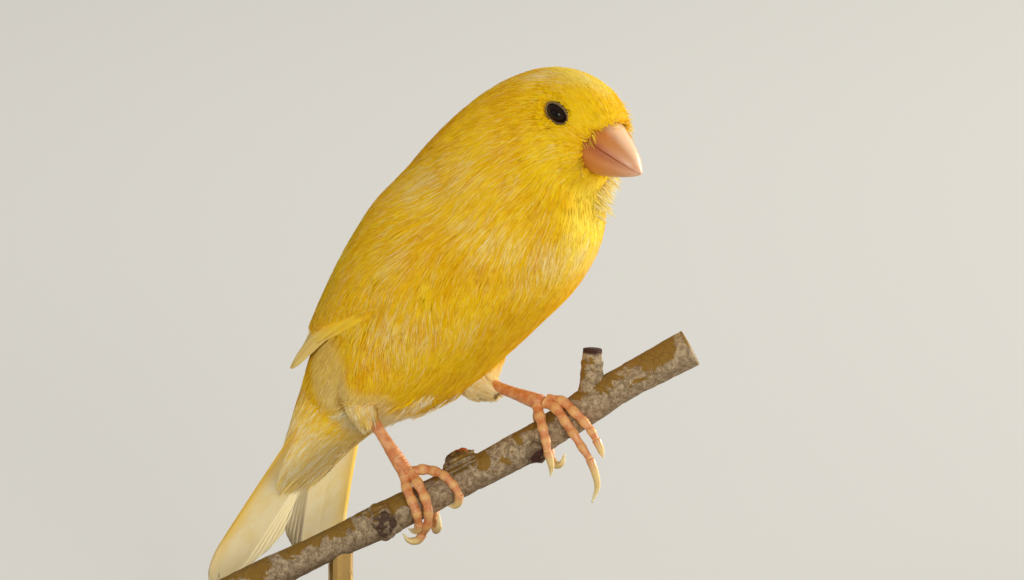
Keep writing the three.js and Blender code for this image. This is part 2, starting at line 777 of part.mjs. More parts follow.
// The stand: a round base and one short rod into the twig's low end
function buildBase() {
  const { baseRadius, baseHeight, bevel } = stand;
  const profile = [
    [0, 0],
    [baseRadius, 0],
    [baseRadius, baseHeight - bevel],
    [baseRadius - bevel, baseHeight],
    [0, baseHeight],
  ].map(([r, z]) => new THREE.Vector2(r, z));
  const geometry = new THREE.LatheGeometry(profile, 48);
  geometry.rotateX(Math.PI / 2);
  return solidFrom(geometry);
}

function buildRod() {
  const top = perchCurve.getPoint(stand.rodAt);
  const length = top.z - stand.baseHeight - gap;
  const geometry = new THREE.CylinderGeometry(stand.rodRadius, stand.rodRadius, length, 16);
  geometry.rotateX(Math.PI / 2);
  geometry.translate(top.x, top.y, (top.z + stand.baseHeight + gap) / 2);
  return solidFrom(geometry).subtract(grownPerch);
}

addNode("head", buildHead(), colours.plumage);
const neckFront = cutAt(body, "nape", 0.6, false);
addNode("neck", cutAt(neckFront, "neck", 0.3, true), colours.plumage);
const torsoFront = cutAt(body, "neck", 0.3, false);
addNode("torso", cutAt(torsoFront, "thigh", 0.3, true), colours.plumage);
addNode("rump", cutAt(body, "thigh", 0.3, false), colours.plumage);
addNode("bill_upper", buildBill(true), colours.horn, 0.45);
addNode("bill_lower", buildBill(false), colours.horn, 0.45);
for (const [name, side] of Object.entries(sides)) {
  addNode("eye_" + name, ball(eyeCentre(side), eye.radius, 2), colours.eye, 0.1);
  addNode("wing_" + name, buildWing(side), colours.plumage);
  addNode("tail_" + name, buildTailHalf(side), colours.palePlumage);
  addNode("thigh_" + name, buildThigh(name), colours.palePlumage);
  addNode("shank_" + name, buildShank(name), colours.skin, 0.55);
  addNode("foot_" + name, buildFoot(name), colours.skin, 0.55);
  for (const toe of Object.keys(feet[name].toes)) {
    addNode(`claw_${name}_${toe}`, buildClaw(name, toe), colours.claw, 0.4);
  }
}
addNode("perch_twig", buildPerch(), colours.bark, 0.9);
addNode("stand_base", buildBase(), colours.base, 0.5);
addNode("stand_rod", buildRod(), colours.rod, 0.35);

const canary = new THREE.Group();
for (const { name, form, colour, roughness } of nodes) {
  const mesh = largest(form).getMesh();
  const stride = mesh.numProp;
  const positions = new Float32Array(mesh.numVert * 3);
  for (let i = 0; i < mesh.numVert; i++) {
    positions.set(mesh.vertProperties.subarray(i * stride, i * stride + 3), i * 3);
  }
  const geometry = new THREE.BufferGeometry();
  geometry.setAttribute("position", new THREE.BufferAttribute(positions, 3));
  geometry.setIndex(new THREE.BufferAttribute(mesh.triVerts, 1));
  const material = new THREE.MeshStandardMaterial({ color: colour, roughness, metalness: 0 });
  const node = new THREE.Mesh(geometry, material);
  node.name = name;
  canary.add(node);
}

export default canary;
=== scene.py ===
import math
import bmesh
import bpy
import numpy as np
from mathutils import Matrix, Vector


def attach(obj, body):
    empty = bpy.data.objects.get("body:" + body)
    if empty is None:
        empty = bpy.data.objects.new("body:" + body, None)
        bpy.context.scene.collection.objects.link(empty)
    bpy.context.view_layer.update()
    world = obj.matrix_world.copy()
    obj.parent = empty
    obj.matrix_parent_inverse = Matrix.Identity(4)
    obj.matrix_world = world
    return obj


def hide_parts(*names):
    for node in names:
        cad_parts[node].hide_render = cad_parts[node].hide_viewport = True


# A perched yellow canary with its feathers, on a cut twig and a small display stand.
# Shapes are worked out in millimetres and turned to metres when a mesh is made.
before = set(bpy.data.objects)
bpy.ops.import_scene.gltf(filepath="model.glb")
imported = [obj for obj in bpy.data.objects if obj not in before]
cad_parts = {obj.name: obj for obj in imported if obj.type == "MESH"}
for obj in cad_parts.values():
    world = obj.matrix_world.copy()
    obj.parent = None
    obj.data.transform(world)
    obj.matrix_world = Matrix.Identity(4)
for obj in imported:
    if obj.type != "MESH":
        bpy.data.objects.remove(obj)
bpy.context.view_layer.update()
rightSide, leftSide = -1, 1


# Meshes and materials
def tint(text):  # sRGB hex to a linear colour
    parts = [int(text[i : i + 2], 16) / 255 for i in (0, 2, 4)]
    return tuple(c / 12.92 if c <= 0.04045 else ((c + 0.055) / 1.055) ** 2.4 for c in parts) + (1.0,)


def addNode(tree, kind, links=None, **settings):
    made = tree.nodes.new(kind)
    for key, value in settings.items():
        setattr(made, key, value)
    for key, value in (links or {}).items():
        if isinstance(value, bpy.types.NodeSocket):
            tree.links.new(value, made.inputs[key])
        else:
            made.inputs[key].default_value = value
    return made


def mathNode(tree, operation, first, second=0.5, third=None, clamp=False):
    links = {0: first, 1: second}
    if third is not None:
        links[2] = third
    return addNode(tree, "ShaderNodeMath", links, operation=operation, use_clamp=clamp).outputs[0]


def easeNode(tree, value, low, high, start=0.0, end=1.0):  # smooth step from low to high
    links = {"Value": value, "From Min": low, "From Max": high, "To Min": start, "To Max": end}
    return addNode(tree, "ShaderNodeMapRange", links, interpolation_type="SMOOTHSTEP").outputs[0]


def mixColours(tree, share, first, second, blend="MIX"):
    made = addNode(tree, "ShaderNodeMix", data_type="RGBA", blend_type=blend, clamp_factor=True)
    for key, value in ((0, share), (6, first), (7, second)):
        if isinstance(value, bpy.types.NodeSocket):
            tree.links.new(value, made.inputs[key])
        else:
            made.inputs[key].default_value = value
    return made.outputs[2]


def noiseNode(tree, vector, scale, detail=3.0, rough=0.5, distortion=0.0):
    links = {"Vector": vector, "Scale": scale, "Detail": detail, "Roughness": rough, "Distortion": distortion}
    return addNode(tree, "ShaderNodeTexNoise", links).outputs["Fac"]


def bumpNode(tree, height, strength, distance, before=None):
    links = {"Height": height, "Strength": strength, "Distance": distance}
    if before is not None:
        links["Normal"] = before
    return addNode(tree, "ShaderNodeBump", links).outputs[0]


def attributeNode(tree, name):
    return addNode(tree, "ShaderNodeAttribute", attribute_name=name).outputs["Fac"]


def newMaterial(name, build):  # build gives the shader's settings, by socket name
    material = bpy.data.materials.new(name)
    material.use_nodes = True
    tree = material.node_tree
    tree.nodes.clear()
    place = addNode(tree, "ShaderNodeTexCoord").outputs["Object"]
    shader = addNode(tree, "ShaderNodeBsdfPrincipled", build(tree, place))
    out = addNode(tree, "ShaderNodeOutputMaterial", {"Surface": shader.outputs[0]})
    out.location = (300, 0)
    return material


def stretched(tree, place, factors):  # coordinates for grain that runs one way
    return addNode(tree, "ShaderNodeVectorMath", {0: place, 1: factors}, operation="MULTIPLY").outputs[0]


def shown(name, data):  # a new object in the scene
    made = bpy.data.objects.new(name, data)
    bpy.context.scene.collection.objects.link(made)
    return made


def setValues(mesh, values):  # one number for each point, under each key
    for key, numbers in values.items():
        mesh.attributes.new(key, "FLOAT", "POINT").data.foreach_set("value", np.asarray(numbers, np.float32))


def meshObject(name, points, faces, material, smooth=True, values=None):
    mesh = bpy.data.meshes.new(name)
    mesh.from_pydata([tuple(p) for p in np.asarray(points, float) * 0.001], [], faces)
    setValues(mesh, values or {})
    mesh.polygons.foreach_set("use_smooth", [smooth] * len(mesh.polygons))
    mesh.materials.append(material)
    return shown(name, mesh)


def facedOut(piece):  # turn every face of a closed piece outwards
    made = bmesh.new()
    made.from_mesh(piece.data)
    bmesh.ops.recalc_face_normals(made, faces=made.faces)
    made.to_mesh(piece.data)
    made.free()
    return piece


def settle(piece, slot, *replaced):  # what carries it, its finish (not used), and the solids it stands for
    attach(piece, "root")
    if replaced:
        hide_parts(*replaced)
    return piece


def joinedParts(parts):  # several (points, faces, values) as one
    points, faces, values, start = [], [], {}, 0
    for part in parts:
        points.append(np.asarray(part[0], float))
        faces += [tuple(i + start for i in face) for face in part[1]]
        for key, numbers in (part[2] if len(part) > 2 else {}).items():
            values.setdefault(key, []).append(np.asarray(numbers, float))
        start += len(part[0])
    return np.vstack(points), faces, {key: np.concatenate(lists) for key, lists in values.items()}


def ringFaces(rings, around):  # between closed rings of points
    edges = [(i * around, k, (k + 1) % around) for i in range(rings - 1) for k in range(around)]
    return [(i + a, i + b, i + b + around, i + a + around) for i, a, b in edges]


def tubeFaces(rings, around):  # the same, with the points of its two poles after the rings
    first, last = rings * around, (rings - 1) * around
    ends = [(first, (k + 1) % around, k) for k in range(around)]
    ends += [(first + 1, last + k, last + (k + 1) % around) for k in range(around)]
    return ringFaces(rings, around) + ends


def slabFaces(rows, columns):  # two layers of points, all of the upper one first, walled round the edge
    lower, last, faces = rows * columns, (rows - 1) * columns, []
    for i in range(rows - 1):
        for k in range(columns - 1):
            a = i * columns + k
            faces.append((a, a + 1, a + columns + 1, a + columns))
            faces.append((a + lower, a + columns + lower, a + columns + 1 + lower, a + 1 + lower))
        a, b = i * columns, (i + 1) * columns - 1
        faces.append((a, a + columns, a + columns + lower, a + lower))
        faces.append((b, b + lower, b + columns + lower, b + columns))
    for k in range(columns - 1):
        a = last + k
        faces.append((k, k + lower, k + 1 + lower, k + 1))
        faces.append((a, a + 1, a + 1 + lower, a + lower))
    return faces


# Small things set along a path or a surface
def plantingTree(item, material):  # one copy of the item at each point, turned to its heading
    tree = bpy.data.node_groups.new("planting", "GeometryNodeTree")
    face = tree.interface
    face.new_socket("Geometry", in_out="INPUT", socket_type="NodeSocketGeometry")
    kinds = {"Size": "NodeSocketFloat", "Unevenness": "NodeSocketFloat", "Seed": "NodeSocketInt"}
    keys = {name: face.new_socket(name, in_out="INPUT", socket_type=kind).identifier
            for name, kind in kinds.items()}
    face.new_socket("Geometry", in_out="OUTPUT", socket_type="NodeSocketGeometry")
    given = tree.nodes.new("NodeGroupInput")
    heading = addNode(tree, "GeometryNodeInputNamedAttribute", {"Name": "heading"}, data_type="FLOAT_VECTOR")
    size = addNode(tree, "GeometryNodeInputNamedAttribute", {"Name": "size"}, data_type="FLOAT")
    turned = addNode(tree, "FunctionNodeAlignRotationToVector", {"Vector": heading.outputs[0]}, axis="Z")
    least = mathNode(tree, "SUBTRACT", 1.0, given.outputs["Unevenness"])
    most = mathNode(tree, "ADD", 1.0, given.outputs["Unevenness"])
    random = addNode(tree, "FunctionNodeRandomValue", data_type="FLOAT")
    tree.links.new(least, random.inputs[2])
    tree.links.new(most, random.inputs[3])
    tree.links.new(given.outputs["Seed"], random.inputs[8])
    uneven = mathNode(tree, "MULTIPLY", size.outputs[0], random.outputs[1])
    scale = mathNode(tree, "MULTIPLY", uneven, given.outputs["Size"])
    shape = addNode(tree, "GeometryNodeObjectInfo", {"Object": item})
    dots = addNode(tree, "GeometryNodeMeshToPoints", {"Mesh": given.outputs["Geometry"]})
    links = {"Points": dots.outputs[0], "Instance": shape.outputs["Geometry"], "Scale": scale}
    placed = addNode(tree, "GeometryNodeInstanceOnPoints", {**links, "Rotation": turned.outputs[0]})
    real = addNode(tree, "GeometryNodeRealizeInstances", {"Geometry": placed.outputs[0]})
    done = addNode(tree, "GeometryNodeSetMaterial", {"Geometry": real.outputs[0], "Material": material})
    tree.links.new(done.outputs[0], tree.nodes.new("NodeGroupOutput").inputs[0])
    return tree, keys


def plant(name, item, places, headings, sizes, material, slot, sizeOf=1.0, uneven=0.15, seed=3, values=None):
    carrier = meshObject(name, places, [], material, values={"size": sizes, **(values or {})})
    layer = carrier.data.attributes.new("heading", "FLOAT_VECTOR", "POINT")
    layer.data.foreach_set("vector", np.asarray(headings, np.float32).ravel())
    tree, keys = plantingTree(item, material)
    growth = carrier.modifiers.new("planting", "NODES")
    growth.node_group = tree
    growth[keys["Size"]], growth[keys["Unevenness"]], growth[keys["Seed"]] = sizeOf, uneven, seed
    made = bpy.data.meshes.new_from_object(carrier.evaluated_get(bpy.context.evaluated_depsgraph_get()))
    carrier.modifiers.clear()
    carrier.data = made
    made.polygons.foreach_set("use_smooth", [True] * len(made.polygons))
    bpy.data.objects.remove(item)
    return settle(carrier, slot)


# Curves, noise, limbs
def spanOf(points, share):  # the four rows of points round a place, and how far it is between the middle two
    points = np.asarray(points, float)
    last = len(points) - 1
    place = np.clip(np.asarray(share, float), 0, 1) * last
    i = np.minimum(place.astype(int), last - 1)
    padded = np.vstack([2 * points[0] - points[1], points, 2 * points[-1] - points[-2]])
    return padded[i], padded[i + 1], padded[i + 2], padded[i + 3], (place - i)[..., None]


def blended(p1, p2, t0, t1, w):  # from p1 to p2, by way of their tangents
    return p1 + t0 * w + (-3 * p1 + 3 * p2 - 2 * t0 - t1) * w**2 + (2 * p1 - 2 * p2 + t0 + t1) * w**3


def catmull(points, share):  # uniform curve through the rows of points
    p0, p1, p2, p3, w = spanOf(points, share)
    return blended(p1, p2, 0.5 * (p2 - p0), 0.5 * (p3 - p1), w)


def softCurve(points, share):  # centripetal curve, which turns gently between uneven points
    p0, p1, p2, p3, w = spanOf(points, share)
    d0, d1, d2 = (np.sqrt(np.linalg.norm(d, axis=-1, keepdims=True)) for d in (p1 - p0, p2 - p1, p3 - p2))
    t0 = ((p1 - p0) / d0 - (p2 - p0) / (d0 + d1) + (p2 - p1) / d1) * d1
    t1 = ((p2 - p1) / d1 - (p3 - p1) / (d1 + d2) + (p3 - p2) / d2) * d1
    return blended(p1, p2, t0, t1, w)


def amongst(numbers, share):  # a number between those of a row, on a uniform curve
    return catmull([(number, 0) for number in numbers], share)[..., 0]


def even(number):  # the same number all over a form
    return lambda u, *rest: np.full(len(u), float(number))


def unit(vectors):
    return vectors / np.maximum(np.linalg.norm(vectors, axis=-1, keepdims=True), 1e-9)


def bump(values, centre, width):
    return np.exp(-(((np.asarray(values) - centre) / width) ** 2))


def softNoise(points, size, seed):  # 0 to 1, smooth over about size millimetres
    table = np.random.default_rng(seed).random(4096)
    scaled = np.asarray(points, float) / size + 100
    cell = np.floor(scaled).astype(int)
    w = scaled - cell
    w = w * w * (3 - 2 * w)
    total = 0
    for corner in np.ndindex(2, 2, 2):
        key = ((cell + corner) @ np.array([73, 1973, 9277])) % 4096
        total = total + table[key] * np.prod(np.where(corner, w, 1 - w), axis=-1)
    return total


def limb(points, radii, sides, steps, shape=None):  # a round limb, closed at both ends
    share = np.linspace(0, 1, steps + 1)
    centres = softCurve(points, share)
    radius = amongst(radii, share)
    tangents = unit(np.gradient(centres, axis=0))
    normal = np.array([1.0, 0, 0]) if abs(tangents[0][0]) < 0.8 else np.array([0, 1.0, 0])
    turn = 2 * np.pi * np.arange(sides) / sides
    rings = []
    for centre, tangent, r, t in zip(centres, tangents, radius, share):
        normal = normal - tangent * (normal @ tangent)
        normal /= np.linalg.norm(normal)
        other = np.cross(tangent, normal)
        local = (r * (shape(t, turn) if shape else 1.0) * np.ones(sides))[:, None]
        rings.append(centre + np.cos(turn)[:, None] * local * normal + np.sin(turn)[:, None] * local * other)
    points = np.vstack(rings + [centres[:1], centres[-1:]])
    along = np.concatenate([np.repeat(share, sides), [0, 1]])
    return points, tubeFaces(steps + 1, sides), {"along": along}


# The body's form
# Stations from the face to the tail's root: back line, belly line, half width
bodyForm = {
    "facePole": ((47.6, 105.9), (46.0, 101.6), 2.6),
    "face": ((47.7, 109.0), (43.0, 98.6), 5.0),
    "brow": ((46.1, 112.6), (41.2, 96.6), 7.2),
    "eyes": ((42.2, 116.0), (40.2, 95.0), 9.1),
    "crown": ((36.4, 118.1), (39.8, 93.5), 10.0),
    "cheek": ((29.4, 118.0), (39.8, 91.8), 10.9),
    "nape": ((21.2, 115.1), (40.2, 89.8), 12.4),
    "collar": ((13.2, 109.9), (40.4, 87.5), 14.6),
    "neck": ((5.4, 102.9), (39.6, 84.4), 17.0),
    "shoulder": ((-1.2, 95.4), (37.2, 79.8), 18.6),
    "breast": ((-7.2, 88.0), (32.6, 74.0), 19.2),
    "keel": ((-12.2, 80.4), (25.8, 68.0), 18.9),
    "flank": ((-16.2, 73.0), (17.4, 60.9), 17.8),
    "belly": ((-19.6, 66.6), (8.2, 53.8), 15.8),
    "thigh": ((-22.6, 61.2), (-1.0, 48.9), 12.8),
    "vent": ((-24.8, 56.8), (-9.4, 45.6), 9.8),
    "tailRoot": ((-26.8, 52.0), (-15.4, 43.0), 7.6),
    "coverts": ((-28.8, 47.2), (-20.8, 38.8), 5.6),
    "tailPole": ((-29.6, 42.6), (-25.8, 36.8), 3.0),
}
stationNames = list(bodyForm)
lastStation = len(stationNames) - 1
backLine = [s[0] for s in bodyForm.values()]
bellyLine = [s[1] for s in bodyForm.values()]
widthLine = [s[2] for s in bodyForm.values()]


def at(name):
    return stationNames.index(name)


def bareBody(station, angle):
    share = np.asarray(station, float) / lastStation
    back, belly, half = catmull(backLine, share), catmull(bellyLine, share), amongst(widthLine, share)
    turn = np.radians(angle)
    middle, reach = (back + belly) / 2, (back - belly) / 2
    x = middle[..., 0] + reach[..., 0] * np.cos(turn)
    z = middle[..., 1] + reach[..., 1] * np.cos(turn)
    return np.stack([x, -half * np.sin(turn), z], -1)


def framesOf(form, u, v, du=0.03, dv=1.0):
    along = (form(u + du, v) - form(u - du, v)) / (2 * du)
    around = (form(u, v + dv) - form(u, v - dv)) / (2 * dv)
    return along, around, unit(np.cross(along, around))


def lifted(form, u, v, lift):
    return form(u, v) + np.asarray(lift)[..., None] * framesOf(form, u, v)[2]


legs = {  # with the down round each: the way it hangs, how far, its radii and how pale it is
    rightSide: {"heel": (-6.4, -11.2, 52.9), "knee": (-1.0, -11.8, 61.5), "toward": (3.4, -13.5, 36.5),
                "run": 7.0, "radii": [1.2, 1.9, 2.7, 2.3, 1.1], "frost": 0.85},
    leftSide: {"heel": (6.6, 9.9, 54.9), "knee": (5.5, 11.4, 63.0), "toward": (20.0, 6.5, 49.0),
               "run": 6.4, "radii": [2.4, 3.4, 3.3, 2.3, 0.7], "frost": 0.95},
}


def thighLine(side):
    knee, heel = (np.array(legs[side][key]) for key in ("knee", "heel"))
    down = unit(heel - knee)
    return [knee, knee + 0.55 * (heel - knee), heel, heel + 0.6 * down], [5.8, 4.8, 2.6, 1.7]


def thighForm(side):  # u runs from the knee (0) to the heel (1)
    points, radii = thighLine(side)

    def form(u, v):
        axis = unit(points[2] - points[0])
        first = unit(np.cross(axis, np.array([0, 1.0, 0])))
        second = np.cross(first, axis)
        turn, radius = np.radians(v)[..., None], amongst(radii, u)[..., None]
        return softCurve(points, u) + radius * (np.cos(turn) * first + np.sin(turn) * second)

    return form


eye = {"x": 38.5, "side": 6.2, "z": 111.05, "faces": 14, "forward": 0.78, "radius": 2.55, "long": 2.28,
       "high": 1.48, "tilt": 38, "squeeze": 0.7, "lidWidth": 0.36, "reach": 2.3}


def eyeAxis(side):
    turn = math.radians(eye["faces"])
    axis = np.array([math.sin(turn), side * math.cos(turn), 0.0])
    return np.array([eye["x"], side * eye["side"], eye["z"]]) + axis * eye["forward"], axis


def eyeFrame(side):  # middle, axis, and the lid's long and short directions
    centre, axis = eyeAxis(side)
    front = unit(np.cross(axis, np.array([0, 0, 1.0]))) * side
    tilt = math.radians(eye["tilt"])
    level = np.array([0, 0, 1.0])
    long = math.cos(tilt) * front - math.sin(tilt) * level
    return centre, axis, long, math.sin(tilt) * front + math.cos(tilt) * level


def nearEye(points):  # distance from an eye on its own side, equal to its reach all along the lid
    best = np.full(len(points), 99.0)
    for side in (rightSide, leftSide):
        centre, axis, long, high = eyeFrame(side)
        away = points - centre
        wide = away @ long * eye["reach"] / (eye["long"] + eye["lidWidth"])
        tall = away @ high * eye["reach"] / (eye["high"] + eye["lidWidth"])
        best = np.where(away @ axis > -2.5, np.minimum(best, np.hypot(wide, tall)), best)
    return best


# Folded wings: a thin swelling over the back and side that carries the feathers
wing = {"front": at("neck") + 0.55, "back": at("belly") + 0.2, "topFront": 26, "topBack": 18, "lowFront": 98,
        "lowBack": 50, "turnsUp": 10.7, "height": 2.1}


def wingEdges(station):
    share = np.clip((np.asarray(station, float) - wing["front"]) / (wing["back"] - wing["front"]), 0, 1)
    top = wing["topFront"] + (wing["topBack"] - wing["topFront"]) * share
    rising = np.clip((np.asarray(station, float) - wing["turnsUp"]) / (wing["back"] - wing["turnsUp"]), 0, 1)
    low = wing["lowFront"] + (wing["lowBack"] - wing["lowFront"]) * rising**1.05
    return share, top, low


def ramp(value, low, high):  # smooth step from 0 at low to 1 at high
    w = np.clip((np.asarray(value, float) - low) / (high - low), 0, 1)
    return w * w * (3 - 2 * w)


def foldOf(angle):  # 0 on the back, 180 on the belly, and which side
    angle = angle % 360
    return np.where(angle <= 180, angle, 360 - angle), np.where(angle <= 180, 1.0, -1.0)


def wingPlace(station, angle):  # shares along the folded wing and across it, from top to low edge
    share, top, low = wingEdges(station)
    return share, (foldOf(angle)[0] - top) / (low - top)


def wingRise(station, angle):  # the height of the folded wing over the body
    across = np.clip(wingPlace(station, angle)[1], 0, 1)
    return wing["height"] * np.sqrt(np.sin(np.pi * (0.06 + 0.88 * across)))


def coverEnd(station, angle):  # the station where the soft feathers end on the wing
    return wing["back"] - 0.3 - 0.75 * np.clip(wingPlace(station, angle)[1], 0, 1)


def onWing(station, angle):
    across = wingPlace(station, angle)[1]
    return (across > 0) & (across < 1) & (station > wing["front"]) & (station < wing["back"])


def coatSwell(station, angle):  # how far the plumage stands off the bare body over wings and thighs
    share, across = wingPlace(station, angle)
    front = ramp(station, wing["front"] - 0.5, wing["front"] + 1.0)
    edges = ramp(across, -0.12, 0.12) * ramp(1 - across, -0.12, 0.12)
    under = np.where(onWing(station, angle), 1.0, 1 - ramp(station, at("keel"), at("flank")))
    swell = wingRise(station, angle) * front * edges * under * (station < wing["back"])
    points = bareBody(station, angle)
    swell = swell - 0.45 * bump(nearEye(points), 1.8, 1.5)
    for side in (rightSide, leftSide):
        line, radii = thighLine(side)
        line[3], radii[2:] = line[2] + unit(np.array(legs[side]["toward"]) - line[2]) * 4.0, [3.0, 1.8]
        for share in np.linspace(0, 1, 10):
            inside = amongst(radii, share) - np.linalg.norm(points - softCurve(line, share), axis=1)
            swell = np.maximum(swell, np.logaddexp(0, 2.2 * (inside + 0.45)) / 2.2 - 0.18)
    return swell


print("forms set out")


# Plumage colours
plumage = {
    "deep": tint("efb900"),
    "warm": tint("f7ca04"),
    "bright": tint("ffdf22"),
    "forehead": tint("ffd80c"),
    "lemon": tint("fdec62"),
    "mantle": tint("e9d00e"),
    "cream": tint("f5d988"),
    "pale": tint("fbf0cc"),
    "amber": tint("d89a00"),
    "shade": tint("efcf92"),
    "gapeShade": tint("9c6410"),
}


def zone(tree, place, centre, reach, inner=0.6, outer=1.15):  # 1 inside an egg shape, 0 outside
    centre, reach = ([c * 0.001 for c in given] for given in (centre, reach))
    moved = addNode(tree, "ShaderNodeVectorMath", {0: place, 1: centre}, operation="SUBTRACT").outputs[0]
    scaled = addNode(tree, "ShaderNodeVectorMath", {0: moved, 1: reach}, operation="DIVIDE").outputs[0]
    length = addNode(tree, "ShaderNodeVectorMath", {0: scaled}, operation="LENGTH").outputs["Value"]
    return easeNode(tree, length, inner, outer, 1.0, 0.0)


def markings(tree, place):  # the same colours for the skin and for what grows on it
    drift = noiseNode(tree, place, 90, 3, 0.55)
    fine = noiseNode(tree, place, 420, 2, 0.6)
    colour = mixColours(tree, easeNode(tree, drift, 0.38, 0.62), plumage["deep"], plumage["warm"])
    flecked = mathNode(tree, "MULTIPLY", easeNode(tree, fine, 0.45, 0.75), 0.45)
    colour = mixColours(tree, flecked, colour, plumage["bright"])
    zones = (
        ((45, 0, 112), (9, 12, 8), 0.85, plumage["forehead"]),
        ((38, 0, 101), (11, 13, 11), 0.55, plumage["bright"]),
        ((38, 0, 86), (8, 9, 13), 0.6, plumage["bright"]),
        ((-14, 0, 84), (17, 20, 26), 0.8, plumage["mantle"]),
        # painted highlight: the next two zones lighten the crown top and the front of the neck and breast to
        # lemon, where the key light strikes
        ((41, 3, 119), (13, 9, 5), 0.85, plumage["lemon"]),
        ((41, 1, 87), (6, 8, 11), 0.7, plumage["lemon"]),
        # painted shade: darker brown on the feathers at each corner of the gape, where the join of bill and
        # face lies in shadow
        ((43.6, -5.9, 101.2), (1.5, 1.5, 1.9), 0.4, plumage["gapeShade"]),
        ((43.6, 5.9, 101.2), (1.5, 1.5, 1.9), 0.4, plumage["gapeShade"]),
        ((-7, -3, 46), (8, 12, 6), 0.85, plumage["pale"]),
        ((-12, -13, 56), (8, 7, 11), 0.6, plumage["cream"]),
        ((-7, -12, 51.5), (9, 7, 5.5), 0.75, plumage["cream"]),
        ((8, 12, 54), (7, 7, 5), 0.8, plumage["pale"]),
        ((-25, 0, 38), (12, 14, 13), 0.9, plumage["cream"]),
    )
    for centre, reach, strength, shade in zones:
        share = mathNode(tree, "MULTIPLY", zone(tree, place, centre, reach), strength)
        colour = mixColours(tree, share, colour, shade)
    return colour


def skinShader(tree, place):
    # painted shade: the skin shows only in the gaps between tufts, so it is mixed towards a darker amber for
    # the shade there
    base = mixColours(tree, 0.4, markings(tree, place), plumage["amber"])
    streaks = noiseNode(tree, place, 1500, 3, 0.6)
    return {
        "Base Color": base,
        "Roughness": 0.85,
        "Specular IOR Level": 0.15,
        "Normal": bumpNode(tree, streaks, 0.6, 0.0002),
    }


def coatShader(tree, place):
    along, tone, frost = (attributeNode(tree, key) for key in ("along", "tone", "frost"))
    base = markings(tree, place)
    base = mixColours(tree, easeNode(tree, tone, 0.4, 1.0, 0.0, 0.55), base, plumage["bright"])
    base = mixColours(tree, easeNode(tree, tone, 0.5, 0.0, 0.0, 0.75), base, plumage["shade"], "MULTIPLY")
    # painted shade: each strand is multiplied darker towards its root, for the shade in the gaps between
    # strands
    rootShaded = mixColours(tree, easeNode(tree, along, 0.0, 0.6, 0.7, 0.0), base, plumage["shade"], "MULTIPLY")
    frosted = mathNode(tree, "MULTIPLY", frost, easeNode(tree, along, 0.05, 0.6, 0.3, 1.0))
    frosted = mathNode(tree, "MAXIMUM", frosted, easeNode(tree, frost, 0.75, 1.0))
    pale = mixColours(tree, easeNode(tree, frost, 0.8, 1.0, 0.0, 0.8), plumage["cream"], plumage["pale"])
    return {
        "Base Color": mixColours(tree, frosted, rootShaded, pale),
        "Roughness": 0.65,
        "Specular IOR Level": 0.04,
    }


skinMaterial = newMaterial("featheredSkin", skinShader)
coatMaterial = newMaterial("bodyFeathers", coatShader)

# Skin
coat = {
    "seed": 11,
    "station": [0, 1, 2, 3.5, 5, 7, 9, 12, 14, 16, 18],
    "length": [1.5, 1.9, 2.6, 3.3, 4.0, 4.8, 5.2, 5.6, 6.0, 6.6, 7.0],
    "width": [0.12, 0.13, 0.14, 0.16, 0.18, 0.2, 0.22, 0.23, 0.25, 0.26, 0.28],
    "depth": [0.4, 0.45, 0.5, 0.6, 0.7, 0.85, 0.95, 1.0, 1.0, 1.0, 0.9],
    "perSquare": [9.0, 8.6, 6.8, 5.0, 4.0, 3.2, 2.7, 2.4, 2.3, 2.4, 2.8],
}


def coatAt(key, station):
    return np.interp(station, coat["station"], coat[key])


def loftMesh(form, us, vs, depth):  # a closed skin of rings, u from end to end and v all round
    rings = [lifted(form, np.full(len(vs), u), vs, -np.full(len(vs), depth(u))) for u in us]
    points = np.vstack(rings + [rings[0].mean(0)[None], rings[-1].mean(0)[None]])
    return points, [face[::-1] for face in tubeFaces(len(us), len(vs))]


def makeSkin():
    rings = np.linspace(0.02, lastStation - 0.02, 150)
    body = loftMesh(bareBody, rings, np.arange(0, 360, 4.0), lambda u: coatAt("depth", u))
    rings, turns = np.linspace(0.02, 0.98, 30), np.arange(0, 360, 10.0)
    thighs = [loftMesh(thighForm(side), rings, turns, lambda u: 0.8 + 3 * max(0, 1 - u / 0.2) ** 2)
              for side in (rightSide, leftSide)]
    points, faces, _ = joinedParts([body] + thighs)
    skin = meshObject("skin", points, faces, skinMaterial)
    bpy.context.view_layer.objects.active = skin
    remesh = skin.modifiers.new("oneSkin", "REMESH")
    remesh.mode = "VOXEL"
    remesh.voxel_size = 0.00055
    remesh.use_smooth_shade = True
    smooth = skin.modifiers.new("soften", "SMOOTH")
    smooth.factor, smooth.iterations = 0.5, 6
    made = bpy.data.meshes.new_from_object(skin.evaluated_get(bpy.context.evaluated_depsgraph_get()))
    skin.modifiers.clear()
    skin.data = made
    points = np.array([v.co for v in made.vertices]) * 1000
    heart = np.array([36.0, 0, 104.0])
    points = np.where(inBill(points, 1.08)[:, None], heart + (points - heart) * 0.87, points)
    for side in (rightSide, leftSide):  # sunk a little round each eye
        centre, axis = eyeAxis(side)
        deep = (points - centre) @ axis
        across = np.linalg.norm(points - centre - deep[:, None] * axis, axis=1)
        most = 0.45 + 0.32 * np.maximum(0, across - 2.0) ** 1.3
        points = points - np.where(across < 4.5, np.maximum(0, deep - most), 0)[:, None] * axis
    made.vertices.foreach_set("co", (points * 0.001).astype(np.float32).ravel())
    made.update()
    if not made.materials:
        made.materials.append(skinMaterial)
    return settle(skin, "plumage", "head", "neck", "torso", "rump", "thigh_right", "thigh_left")


